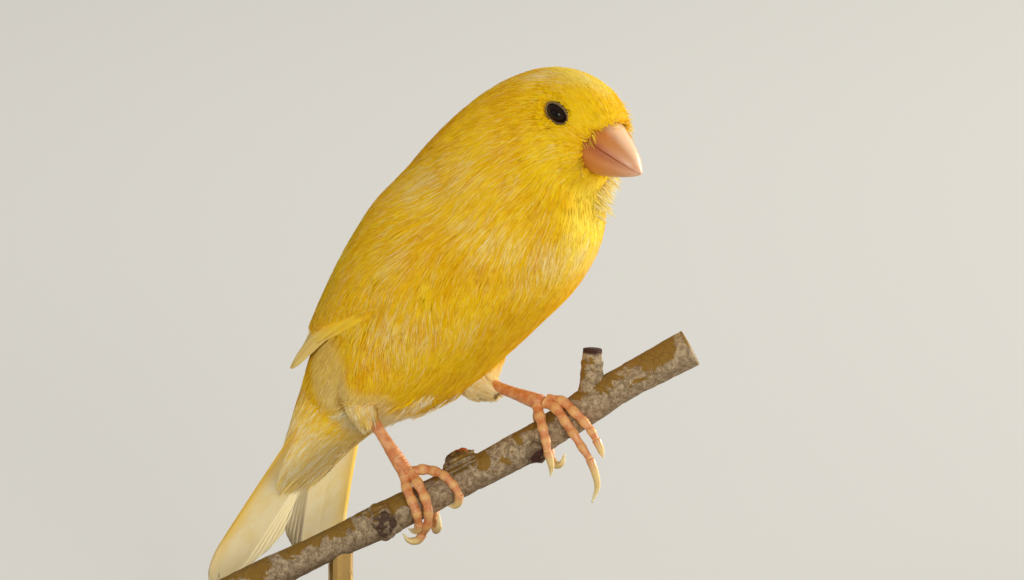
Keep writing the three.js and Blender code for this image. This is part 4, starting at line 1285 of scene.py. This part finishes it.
def vaneShader(tree, place, tints):
    along, across, tone = (attributeNode(tree, key) for key in ("alongMm", "acrossMm", "tone"))
    outward = mathNode(tree, "ABSOLUTE", across)
    slant = mathNode(tree, "SUBTRACT", along, mathNode(tree, "MULTIPLY", outward, 1.3))
    barbs = mathNode(tree, "SINE", mathNode(tree, "MULTIPLY", slant, 17.0))
    patchy = noiseNode(tree, place, 260, 3, 0.55)
    share = attributeNode(tree, "along")
    edge = attributeNode(tree, "edge")
    colour = mixColours(tree, easeNode(tree, patchy, 0.38, 0.62), tint(tints["low"]), tint(tints["high"]))
    colour = mixColours(tree, easeNode(tree, edge, 0.6, 1.0, 0.0, 0.5), colour, tint(tints["edge"]))
    colour = mixColours(tree, easeNode(tree, tone, 0.4, 1.0, 0.0, 0.25), colour, tint(tints["tone"]))
    # on the wing this line is partly a painted shadow, where the flank feathers shade the lowest primary's
    # edge, and partly that feather's own darker edge; on the tail it is a yellow edge
    lined = mathNode(tree, "MULTIPLY", attributeNode(tree, "line"), easeNode(tree, share, 1.0, 0.7))
    paler = mathNode(tree, "MULTIPLY", attributeNode(tree, "pale"), easeNode(tree, share, 0.55, 0.95))
    colour = mixColours(tree, paler, colour, tint(tints["pale"]))
    colour = mixColours(tree, easeNode(tree, outward, 0.3, 0.05, 0.0, 0.4), colour, tint(tints["shaft"]))
    colour = mixColours(tree, lined, colour, tint(tints["line"]))
    colour = mixColours(tree, easeNode(tree, barbs, -0.2, 1.0, 0.0, 0.18), colour, tint(tints["barb"]))
    return {
        "Base Color": colour,
        "Roughness": 0.5,
        "Specular IOR Level": 0.25,
        "Normal": bumpNode(tree, barbs, 0.25, 0.00006),
    }


vaneMaterial = newMaterial("flightFeathers", lambda tree, place: vaneShader(tree, place, vaneTints["wing"]))
tailMaterial = newMaterial("tailFeathers", lambda tree, place: vaneShader(tree, place, vaneTints["tail"]))


plainEdge = (1, 0.0, 1.0)  # a blade without a line along its edge


def vanePart(line, normals, width, tilt, camber=0.02, blunt=0.7, tipWidth=0.3, thickness=0.16, tone=0.5,
             pale=0.0, shaft=0.13, columns=8, ragged=0.0, seed=0, lined=plainEdge):
    rng = np.random.default_rng(seed)
    steps = len(line) - 1
    share = np.linspace(0, 1, steps + 1)
    tangent = unit(np.gradient(line, axis=0))
    up = unit(normals - tangent * (normals * tangent).sum(-1, keepdims=True))
    side = np.cross(tangent, up)
    length = np.concatenate([[0], np.cumsum(np.linalg.norm(np.diff(line, axis=0), axis=1))])
    rootEase = np.minimum(1, 0.5 + share * 1.6)
    past = np.clip((share - blunt) / (1 - blunt), 0, 1)
    tipEase = np.sqrt(np.maximum(0, 1 - past**2 * (1 - tipWidth**2)))
    half = 0.5 * width * rootEase * tipEase
    x = np.linspace(-1, 1, columns + 1)
    across = half[:, None] * x[None]
    across = across + np.where(np.abs(x) == 1, 1, 0)[None] * ragged * rng.uniform(-1, 1, across.shape)
    backSet = -0.5 * past[:, None] * (np.abs(x) ** 2)[None] * width * 0.28
    rise = tilt * across - camber * across**2 + shaft * np.exp(-((across / 0.22) ** 2))
    thin = thickness * (1 - 0.55 * np.abs(x) ** 2)[None] * (1 - 0.5 * share)[:, None]
    base = line[:, None] + side[:, None] * across[..., None] + tangent[:, None] * backSet[..., None]
    top = base + up[:, None] * (rise + thin / 2)[..., None]
    low = base + up[:, None] * (rise - thin / 2)[..., None]
    points, n = np.vstack([top.reshape(-1, 3), low.reshape(-1, 3)]), columns + 1
    values = {
        "along": np.tile(np.repeat(share, n), 2),
        "alongMm": np.tile(np.repeat(length, n), 2),
        "acrossMm": np.tile(across.ravel(), 2),
        "edge": np.tile(np.abs(x), 2 * (steps + 1)),
        "tone": np.full(len(points), tone),
        "pale": np.full(len(points), pale),
        "line": np.tile(ramp(x * lined[0], lined[1], lined[2]), 2 * (steps + 1)) * (lined[1] > 0),
    }
    return points, slabFaces(steps + 1, n), values


# Each row of blades: the station where it starts and ends, and its top and low blade's shares across the wing
wingTiers = {
    "primaries": {"count": 7, "starts": 10.6, "across": (0.5, 0.94), "ends": 12.7, "endAcross": (0.5, 0.93),
                  "lift": -0.3, "width": 4.6, "steps": 22, "tipWidth": 0.2, "blunt": 0.55, "pale": 0.7,
                  "tips": ((-23.6, 3.0, 60.6), (-26.1, 7.0, 56.4))},
    "secondaries": {"count": 7, "starts": 10.4, "across": (0.1, 0.8), "ends": 13.2, "endAcross": (0.2, 0.82),
                    "lift": -0.1, "width": 5.6, "steps": 18, "tipWidth": 0.45, "blunt": 0.75, "pale": 0.3},
    "greaterCoverts": {"count": 9, "starts": 9.7, "across": (0.12, 0.88), "ends": 11.7,
                       "endAcross": (0.15, 0.86), "lift": 0.0, "width": 5.6, "steps": 12, "tipWidth": 0.5,
                       "blunt": 0.6, "pale": 0.2},
    "medianCoverts": {"count": 9, "starts": 9.0, "across": (0.15, 0.86), "ends": 10.5,
                      "endAcross": (0.15, 0.84), "lift": 0.05, "width": 5.6, "steps": 10, "tipWidth": 0.55,
                      "blunt": 0.5, "pale": 0.15},
}


def bladeLine(tier, share, side, wander):  # along the folded wing, and for the long ones on to their own tips
    run = np.linspace(0, 1, tier["steps"] + 1)
    starts, ends = (lo + (hi - lo) * share for lo, hi in (tier["across"], tier["endAcross"]))
    u = tier["starts"] + (tier["ends"] - tier["starts"]) * run
    _, top, low = wingEdges(u)
    v = top + (low - top) * (starts + (ends - starts) * run) + wander * run
    v = v if side < 0 else 360 - v
    emerging = ramp(u - coverEnd(u, v), -1.3, 0.5)
    lift = 0.9 * wingRise(u, v) - 0.75 + 0.7 * emerging + tier["lift"] * (0.5 + 0.5 * run) + 0.05 * share
    line, normals = lifted(bareBody, u, v, lift), framesOf(bareBody, u, v)[2]
    if "tips" in tier:
        first, last = (np.array(tip) * (1, side, 1) for tip in tier["tips"])
        keys = np.vstack([line[:: tier["steps"] // 3], first + (last - first) * share])
        turns = np.vstack([normals[:: tier["steps"] // 3], normals[-1]])
        line, normals = softCurve(keys, run), unit(catmull(turns, run))
    return line, normals


def tierParts(tier, side, seed):
    rng = np.random.default_rng(seed)
    parts = []
    for i in range(tier["count"]):
        share = i / (tier["count"] - 1)
        line, normals = bladeLine(tier, share, side, rng.normal(0, 0.6))
        # the lowest primary carries the dark edge line, partly a painted shadow under the flank feathers
        lowest = "tips" in tier and i == tier["count"] - 1
        parts.append(vanePart(
            line, normals, tier["width"], -side * 0.16, blunt=tier["blunt"], tipWidth=tier["tipWidth"],
            tone=rng.uniform(0, 1), pale=tier["pale"] * rng.uniform(0.6, 1.3), ragged=0.08, seed=seed + i,
            lined=(-side, 0.35, 0.95) if lowest else plainEdge))
    return parts


def wingCorePart(side):  # what the feathers are rooted in
    rows, columns, under = 26, 18, -1.3
    upper, lower = [], []
    for place in np.linspace(wing["front"], wing["back"], rows):
        u = np.full(columns, place)
        _, top, low = wingEdges(u)
        v = top + (low - top) * np.linspace(0, 1, columns)
        swell = (0.7 * wingRise(u, v) + 0.3) * ramp(u, wing["front"] - 0.2, wing["front"] + 1.2) - 0.95
        v = v if side < 0 else 360 - v
        upper.append(lifted(bareBody, u, v, swell))
        lower.append(lifted(bareBody, u, v, np.full(columns, under)))
    points = np.vstack(upper + lower)
    zero = np.zeros(len(points))
    values = {key: zero for key in ("along", "alongMm", "edge", "tone", "pale", "line")}
    return points, slabFaces(rows, columns), {**values, "acrossMm": zero + 2}


def makeWing(side, name):
    parts = [wingCorePart(side)]
    for k, tier in enumerate(wingTiers.values()):
        parts += tierParts(tier, side, 100 * k + 7 + side)
    points, faces, values = joinedParts(parts)
    piece = facedOut(meshObject("wingFeathers_" + name, points, faces, vaneMaterial, values=values))
    return settle(piece, "flight_feathers", "wing_" + name)


for side, name in ((rightSide, "right"), (leftSide, "left")):
    makeWing(side, name)
print("wings made")

# Tail
tail = {"root": (-19.5, 0, 50.0), "slope": 61, "right": 44, "left": 41, "fork": 9, "feathers": 6,
        "least": 4.5, "spread": 15.5, "roll": 4, "steps": 34}


def tailFrame():
    slope, roll = math.radians(tail["slope"]), math.radians(tail["roll"])
    down = np.array([-math.cos(slope), 0, -math.sin(slope)])
    lateral = np.array([0, 1.0, 0])
    lateral = lateral * math.cos(roll) + np.cross(down, lateral) * math.sin(roll)
    return np.array(tail["root"]), down, lateral, unit(np.cross(lateral, down))


def makeTail(side, name):
    root, down, lateral, up = tailFrame()
    rng = np.random.default_rng(80 + side)
    parts = []
    for i in range(tail["feathers"]):
        share = i / (tail["feathers"] - 1)
        fan = math.radians(tail["least"] + (tail["spread"] - tail["least"]) * share) * side
        out = side * (1.1 + 0.75 * share)
        length = tail[name] - tail["fork"] * (1 - share) ** 1.3 + rng.uniform(-0.5, 0.4)
        heading = down * math.cos(fan) + lateral * math.sin(fan)
        run = np.linspace(-4, length, tail["steps"])[:, None]
        sideways = lateral * (out + 0.0011 * run**2 * side * share)
        line = root + sideways + heading * run + up * ((0.5 - share) * 0.1 - 0.0009 * run**2)
        parts.append(vanePart(
            line, np.tile(up, (tail["steps"], 1)), 9.2 + 3.4 * share, side * 0.004, camber=0.002, blunt=0.8,
            tipWidth=0.3, thickness=0.07, tone=rng.uniform(0.3, 1), pale=0.4, shaft=0.05, ragged=0.04,
            columns=12, seed=300 + i, lined=(side, 0.25, 1.1) if i == tail["feathers"] - 1 else plainEdge))
    points, faces, values = joinedParts(parts)
    piece = facedOut(meshObject("tailFeathers_" + name, points, faces, tailMaterial, values=values))
    return settle(piece, "tail_feathers", "tail_" + name)


makeTail(rightSide, "right")
makeTail(leftSide, "left")
print("tail made")

# Perch
perch = {
    "points": [(-25.7, -29.3, 14.5), (-9.9, -17.3, 24.1), (2.0, -8.4, 31.3), (17.2, 3.0, 41.2),
               (24.4, 8.5, 46.5), (33.4, 15.2, 54.0), (46.2, 24.9, 63.0)],
    "radius": 3.2,
    "stubRadius": 2.1,
    "stubHeight": 7.5,
    "stubShare": 0.792,
    "knots": [
        {"share": 0.292, "place": (0.4, 0.3, 2.9), "radius": 2.9, "scales": 16, "dark": 0.6},
        {"share": 0.437, "place": (0.4, -3.9, -0.9), "radius": 3.3, "scales": 16, "dark": 0.55, "rust": 0.8},
        {"share": 0.605, "place": (0.4, 2.4, 2.4), "radius": 2.4, "scales": 10, "dark": 0.85},
    ],
}


def perchFrame(share):
    centre = softCurve(perch["points"], share)
    along = unit(softCurve(perch["points"], share + 0.002) - softCurve(perch["points"], share - 0.002))
    front = unit(np.cross(along, np.array([0, 0, 1.0])))
    return centre, along, front, np.cross(front, along)


def gripPoint(share, place):
    centre, along, front, up = perchFrame(share)
    return centre + along * place[0] - up * place[1] + front * place[2]


def barkShader(tree, place):
    broad = noiseNode(tree, place, 130, 5, 0.62, 0.5)
    fine = noiseNode(tree, place, 1000, 4, 0.7)
    flecks = noiseNode(tree, place, 2300, 3, 0.6)
    links = {"Vector": place, "Scale": 330.0}
    cracks = addNode(tree, "ShaderNodeTexVoronoi", links, feature="DISTANCE_TO_EDGE").outputs["Distance"]
    facing = addNode(tree, "ShaderNodeNewGeometry").outputs["Normal"]
    top = addNode(tree, "ShaderNodeSeparateXYZ", {0: facing}).outputs["Z"]
    colour = mixColours(tree, easeNode(tree, fine, 0.36, 0.66), tint("8a7457"), tint("bda785"))
    colour = mixColours(tree, easeNode(tree, flecks, 0.58, 0.66, 0.0, 0.7), colour, tint("5a4632"))
    patches = mathNode(tree, "ADD", broad, mathNode(tree, "MULTIPLY", fine, 0.1))
    moss = mathNode(tree, "ADD", mathNode(tree, "MULTIPLY", top, 0.17), patches)
    moss = easeNode(tree, moss, 0.63, 0.655)
    colour = mixColours(tree, mathNode(tree, "MULTIPLY", moss, 0.88), colour, tint("85600f"))
    colour = mixColours(tree, easeNode(tree, cracks, 0.05, 0.0, 0.0, 0.35), colour, tint("4a3826"))
    # painted shade: darker where the surface faces down
    colour = mixColours(tree, easeNode(tree, top, 0.1, -0.8, 0.0, 0.35), colour, tint("5f4a36"))
    scar = attributeNode(tree, "scar")
    colour = mixColours(tree, easeNode(tree, scar, 0.1, 0.75), colour, tint("432b22"))
    colour = mixColours(tree, attributeNode(tree, "rust"), colour, tint("b2561a"))
    height = mathNode(tree, "SUBTRACT", mathNode(tree, "ADD", fine, mathNode(tree, "MULTIPLY", broad, 0.6)),
                      mathNode(tree, "MULTIPLY", moss, 0.12))
    return {
        "Base Color": colour,
        "Roughness": 0.82,
        "Specular IOR Level": 0.2,
        "Normal": bumpNode(tree, height, 0.6, 0.0004),
    }


barkMaterial = newMaterial("twigBark", barkShader)


def knotParts(share, place, radius, scales, dark, rust=0.0):  # a low dome with scales: a bud, or its scar
    centre, along, front, up = perchFrame(share)
    middle = gripPoint(share, place)
    away = unit(middle - centre - along * ((middle - centre) @ along))
    across = np.cross(along, away)

    def rough(t, turn):
        return 1 + 0.07 * np.sin(3 * turn + 9 * t) + 0.06 * np.sin(7 * turn - 5 * t) + 0.05 * np.sin(26 * t)

    line = [middle - away * 2.2, middle, middle + away * radius * 0.42]
    dome = limb(line, [radius * 1.25, radius, radius * 0.4], 40, 30, rough)
    dome[2]["scar"] = dark * (0.45 + 0.55 * ramp(dome[2]["along"], 0.55, 0.9))
    dome[2]["rust"] = np.zeros(len(dome[0]))
    parts = [dome]
    for k in range(scales):
        turn = 2.4 * k
        out = radius * 0.62 * math.sqrt((k + 0.5) / scales)
        spot = middle + out * (math.cos(turn) * along + math.sin(turn) * across)
        spot = spot + away * (radius * 0.42 - 0.3 * out)
        thick = radius * (0.24 + 0.08 * math.sin(3.3 * k))
        line = [spot - away * 1.2, spot, spot + away * thick * 0.6]
        lump = limb(line, [thick * 1.2, thick, thick * 0.4], 12, 8, rough)
        lump[2]["scar"] = np.full(len(lump[0]), dark * (0.6 if k % 3 == 0 else 1.0))
        lump[2]["rust"] = np.full(len(lump[0]), rust if math.cos(turn) > 0.3 else 0.0)
        parts.append(lump)
    return parts


def makePerch():
    def barkShape(t, turn):
        r = perch["radius"]
        spot = np.stack([np.full(len(turn), t * 105), r * np.cos(turn), r * np.sin(turn)], 1)
        rough = softNoise(spot, 1.1, 3) * 0.05 + softNoise(spot * [0.35, 1, 1], 2.3, 4) * 0.06
        ring = -0.05 * bump(t, 0.447, 0.004) - 0.05 * bump(t, 0.7, 0.003)
        return 0.95 + rough + ring

    steps = 360
    share = np.linspace(0, 1, 15)
    radii = perch["radius"] * (0.98 + 0.05 * np.sin(np.arange(15) * 1.9) + 0.12 * share**2)
    stem = limb([softCurve(perch["points"], s) for s in share], list(radii), 56, steps, barkShape)
    stem[2]["scar"], stem[2]["rust"] = np.zeros(len(stem[0])), np.zeros(len(stem[0]))
    parts = [stem]
    foot = perchFrame(perch["stubShare"])[0]
    rise = unit(np.array([0.03, 0, 1.0]))
    r, h = perch["radius"], perch["stubHeight"]

    def stubShape(t, turn):
        spot = np.stack([np.full(len(turn), t * 11 + 50), 2 * np.cos(turn), 2 * np.sin(turn)], 1)
        return 0.92 + softNoise(spot, 0.9, 9) * 0.13 + 0.05 * bump(t, 0.7, 0.03)

    stub = limb([foot, foot + rise * r, foot + rise * (r + 0.6 * h), foot + rise * (r + h)],
                [perch["stubRadius"] * k for k in (1.5, 1.15, 1.0, 0.85)], 32, 60, stubShape)
    stub[2]["scar"] = np.clip((stub[2]["along"] - 0.86) * 9, 0, 0.9)
    stub[2]["rust"] = np.zeros(len(stub[0]))
    parts.append(stub)
    for knot in perch["knots"]:
        parts += knotParts(**knot)
    points, faces, values = joinedParts(parts)
    twig = facedOut(meshObject("twig", points, faces, barkMaterial, values=values))
    return settle(twig, "bark", "perch_twig")


makePerch()

# Legs and feet
leg = {"heel": 1.75, "shank": 1.22, "foot": 1.5, "toe": 1.02, "claw": 0.72}
feet = {
    "right": {
        "side": rightSide, "grip": 0.36, "pad": (0.8, -6.5, 1.0),
        "toes": {
            "inner": [(1.8, -6.0, 1.0), (3.9, -5.5, 1.2), (5.9, -4.3, 2.2), (7.3, -2.8, 3.6),
                      (8.1, -0.6, 4.6), (8.2, 1.6, 4.5)],
            "middle": [(1.6, -6.0, 1.3), (2.0, -3.8, 3.0), (2.1, -0.8, 4.6), (1.4, 2.0, 4.6),
                       (-0.1, 4.3, 3.2), (-1.7, 5.6, 1.6)],
            "outer": [(0.3, -5.9, 1.2), (-0.3, -3.9, 2.9), (-0.4, -1.5, 4.5), (-0.7, 1.1, 4.6),
                      (-1.3, 3.2, 3.6)],
            "hind": [(1.2, -5.7, -0.6), (1.6, -3.4, -2.9), (1.9, 0.0, -4.4), (2.0, 3.2, -3.3),
                     (1.2, 5.0, -1.0)],
        },
        "claws": {
            "inner": [(7.5, 2.8, 4.0), (6.4, 3.3, 3.2), (5.3, 2.9, 2.4)],
            "middle": [(-3.2, 6.3, 1.2), (-4.6, 5.6, 1.4), (-5.0, 3.8, 2.4)],
            "outer": [(-2.0, 4.2, 2.8), (-2.9, 4.3, 1.9), (-3.7, 3.6, 1.3)],
            "hind": [(0.9, 6.2, 0.8), (1.9, 5.5, 2.9), (3.1, 3.0, 4.4)],
        },
    },
    "left": {
        "side": leftSide, "grip": 0.62, "pad": (4.7, -6.0, 1.0),
        "toes": {
            "outer": [(3.9, -5.6, 1.3), (3.4, -3.8, 2.9), (2.8, -1.8, 4.4), (2.1, 0.4, 4.9), (1.2, 2.5, 4.9)],
            "middle": [(5.6, -5.5, 1.6), (6.9, -3.6, 3.2), (7.2, -0.8, 4.8), (7.4, 1.8, 5.8),
                       (7.5, 4.9, 6.5), (7.6, 7.6, 6.8)],
            "inner": [(6.4, -5.5, 0.8), (8.6, -4.1, 2.6), (9.6, -1.5, 4.6), (10.3, 1.1, 5.4),
                      (10.6, 3.4, 5.9), (10.5, 5.1, 6.0)],
            "hind": [(4.0, -5.4, -0.8), (2.6, -3.0, -3.3), (1.7, 0.4, -4.5), (1.1, 3.6, -3.4),
                     (0.7, 5.2, -1.2)],
        },
        "claws": {
            "outer": [(0.9, 3.9, 4.8), (0.3, 5.5, 4.5), (-0.7, 6.9, 3.9)],
            "middle": [(7.2, 9.9, 6.8), (6.1, 12.9, 6.2), (3.5, 15.3, 5.0)],
            "inner": [(10.4, 6.5, 6.0), (10.1, 7.8, 5.6), (9.8, 9.0, 5.0)],
            "hind": [(1.1, 6.2, 0.3), (2.2, 6.2, 1.8), (3.8, 4.8, 2.9)],
        },
    },
}


def legShader(tree, place):
    scales, blotch = attributeNode(tree, "scale"), noiseNode(tree, place, 700, 3, 0.6)
    colour = mixColours(tree, easeNode(tree, blotch, 0.36, 0.66), tint("cf7d46"), tint("e2a46e"))
    joints = easeNode(tree, attributeNode(tree, "joint"), 0.3, 1.0, 0.0, 0.5)
    colour = mixColours(tree, joints, colour, tint("e9bc72"))
    colour = mixColours(tree, easeNode(tree, scales, 0.75, 1.0, 0.0, 0.35), colour, tint("ab5e34"))
    return {
        "Base Color": colour,
        "Roughness": 0.42,
        "Specular IOR Level": 0.4,
        "Subsurface Weight": 0.1,
        "Subsurface Radius": (1.0, 0.4, 0.25),
        "Subsurface Scale": 0.0005,
        "Normal": bumpNode(tree, noiseNode(tree, place, 2600, 2, 0.5), 0.3, 0.00008),
    }


def clawShader(tree, place):
    along, vein = attributeNode(tree, "along"), noiseNode(tree, place, 800, 2, 0.5)
    colour = mixColours(tree, easeNode(tree, along, 0.0, 0.45), tint("dd9a66"), tint("e6c884"))
    colour = mixColours(tree, easeNode(tree, along, 0.6, 1.0), colour, tint("f5e6b4"))
    colour = mixColours(tree, easeNode(tree, vein, 0.4, 0.8, 0.0, 0.25), colour, tint("cf9c58"))
    return {
        "Base Color": colour,
        "Roughness": 0.28,
        "Specular IOR Level": 0.5,
        "Coat Weight": 0.15,
        "Coat Roughness": 0.2,
    }


legMaterial = newMaterial("scaledLeg", legShader)
clawMaterial = newMaterial("clawHorn", clawShader)


def scaledLimb(points, radii, sides, spacing, depth=0.05):  # overlapping scales across the front
    size = float(np.sum(np.linalg.norm(np.diff(np.array(points), axis=0), axis=1)))
    count = max(6, int(size / spacing))
    steps = count * 7

    def scaleShape(t, turn):
        phase = (t * count) % 1.0
        return 1 + depth * (phase - 0.5) + 0.02 * np.cos(3 * turn)

    part = limb(points, radii, sides, steps, scaleShape)
    part[2]["scale"] = (part[2]["along"] * count) % 1.0
    part[2]["joint"] = np.zeros(len(part[0]))
    return part


def makeFoot(name):
    foot = feet[name]
    heel = np.array(legs[foot["side"]]["heel"])
    pad = gripPoint(foot["grip"], foot["pad"])
    shank = [heel + (pad - heel) * k for k in (0, 0.12, 0.5, 0.86, 1)]
    thick = leg["shank"]
    parts = [scaledLimb(shank, [leg["heel"] * 0.72, thick, thick * 0.92, thick * 1.2, leg["foot"]], 20, 1.0)]
    knuckle = [pad + (heel - pad) * 0.07, pad, pad - (heel - pad) * 0.05]
    parts.append(scaledLimb(knuckle, [1.1, 1.62, 1.0], 20, 0.6))
    for toe, places in foot["toes"].items():
        run = [gripPoint(foot["grip"], p) for p in places]
        fine = [softCurve(run, s) for s in np.linspace(0, 1, 2 * len(run) - 1)]
        swell = [(1.14 if k % 2 == 0 else 0.95) for k in range(len(fine))]
        radii = [leg["toe"] * (1 - 0.028 * k) * swell[k] for k in range(len(fine))]
        radii[-1] *= 0.8
        part = scaledLimb(fine, radii, 16, 0.62)
        part[2]["joint"] = 0.5 + 0.5 * np.cos(part[2]["along"] * np.pi * (len(fine) - 1))
        parts.append(part)
    points, faces, values = joinedParts(parts)
    piece = facedOut(meshObject("leg_" + name, points, faces, legMaterial, values=values))
    settle(piece, "leg_skin", "foot_" + name, "shank_" + name)
    for toe, places in foot["claws"].items():
        run = [gripPoint(foot["grip"], p) for p in [foot["toes"][toe][-1]] + places]
        radii = [leg["claw"] * k for k in (1.2, 1.08, 0.78, 0.2)]
        points, faces, values = limb(run, radii, 16, 26, lambda t, turn: 1 + 0.06 * np.cos(2 * turn))
        claw = meshObject(f"claw_{name}_{toe}_horn", points, faces, clawMaterial, values=values)
        settle(facedOut(claw), "claw", f"claw_{name}_{toe}")


makeFoot("right")
makeFoot("left")
print("twig, legs and feet made")

# Stand
stand = {"radius": 46.0, "height": 7.0, "bevel": 1.2, "groove": 0.35}


def standShader(tree, place):
    grain = noiseNode(tree, stretched(tree, place, (1, 7, 1)), 60, 6, 0.62, 1.2)
    pores = noiseNode(tree, stretched(tree, place, (1, 14, 3)), 420, 3, 0.6)
    colour = mixColours(tree, easeNode(tree, grain, 0.3, 0.7), tint("2e1d13"), tint("5a3b26"))
    colour = mixColours(tree, easeNode(tree, pores, 0.56, 0.72, 0.0, 0.5), colour, tint("1c110b"))
    return {
        "Base Color": colour,
        "Roughness": 0.38,
        "Specular IOR Level": 0.45,
        "Coat Weight": 0.3,
        "Coat Roughness": 0.15,
        "Normal": bumpNode(tree, pores, 0.2, 0.0001),
    }


def rodShader(tree, place):
    brushed = noiseNode(tree, stretched(tree, place, (8, 8, 1)), 900, 2, 0.5)
    return {
        "Base Color": tint("b9965a"),
        "Metallic": 1.0,
        "Roughness": easeNode(tree, brushed, 0.3, 0.7, 0.26, 0.42),
        "Normal": bumpNode(tree, brushed, 0.15, 0.00005),
    }


standMaterial = newMaterial("stainedWood", standShader)
rodMaterial = newMaterial("brushedBrass", rodShader)


def makeBase():
    r, h, b = stand["radius"], stand["height"], stand["bevel"]
    arc = [(r - b + b * math.cos(t), h - b + b * math.sin(t)) for t in np.linspace(0, math.pi / 2, 7)]
    profile = [(r - 0.5, 0), (r, 0.5), (r, h * 0.45), (r - stand["groove"], h * 0.5), (r, h * 0.55)] + arc
    turns = 2 * np.pi * np.arange(128) / 128
    points = [(x * math.cos(t), x * math.sin(t), z) for x, z in profile for t in turns]
    points += [(0, 0, 0), (0, 0, h)]
    disc = meshObject("standDisc", points, tubeFaces(len(profile), len(turns)), standMaterial)
    return settle(disc, "stand_wood", "stand_base")


makeBase()
rod = bpy.data.objects["stand_rod"]
rod.data.materials.clear()
rod.data.materials.append(rodMaterial)

# Room, light and camera
studio = {"target": (14.1, 10.7, 73.0), "azimuth": 37, "elevation": 8, "distance": 2188, "lens": 400}


def floorShader(tree, place):
    soft = easeNode(tree, noiseNode(tree, place, 0.8, 1, 0.5), 0.3, 0.7)
    return {"Base Color": mixColours(tree, soft, tint("dad7d2"), tint("dcd9d4")), "Roughness": 0.7}


wide = 9000
corners = [(-wide, -wide, 0), (wide, -wide, 0), (wide, wide, 0), (-wide, wide, 0)]
meshObject("floor", corners, [(0, 1, 2, 3)], newMaterial("paleFloor", floorShader), smooth=False)


def addLight(name, place, size, power, colour=(1, 1, 1)):
    light = bpy.data.lights.new(name, "AREA")
    light.shape, light.size, light.energy, light.color = "DISK", size, power, colour
    lamp = shown(name, light)
    lamp.location = place
    aim = Vector([c * 0.001 for c in studio["target"]]) - Vector(place)
    lamp.rotation_euler = aim.to_track_quat("-Z", "Y").to_euler()
    lamp.visible_camera = False


addLight("keyLight", (1.31, 2.3, 0.78), 1.0, 94, (1.0, 0.985, 0.9))
addLight("fillLight", (2.39, -1.98, 0.45), 0.8, 34, (1.0, 0.985, 0.96))
addLight("sideLight", (-0.6, -3.0, 0.9), 1.2, 10, (1.0, 0.985, 0.96))
addLight("topLight", (0.5, 0.9, 2.6), 1.6, 12)

world = bpy.data.worlds.new("studioAir")
world.use_nodes = True
world.node_tree.nodes["Background"].inputs[0].default_value = (0.96, 0.95, 0.92, 1)
world.node_tree.nodes["Background"].inputs[1].default_value = 0.44
bpy.context.scene.world = world
bpy.context.scene.view_settings.view_transform = "Standard"

azimuth, elevation = math.radians(studio["azimuth"]), math.radians(studio["elevation"])
level = math.cos(elevation)
backward = Vector((math.sin(azimuth) * level, -math.cos(azimuth) * level, math.sin(elevation)))
camera = shown("camera", bpy.data.cameras.new("camera"))
camera.data.lens, camera.data.sensor_width = studio["lens"], 36
camera.location = Vector([c * 0.001 for c in studio["target"]]) + backward * studio["distance"] * 0.001
camera.rotation_euler = (-backward).to_track_quat("-Z", "Y").to_euler()
bpy.context.scene.camera = camera
print("room made")
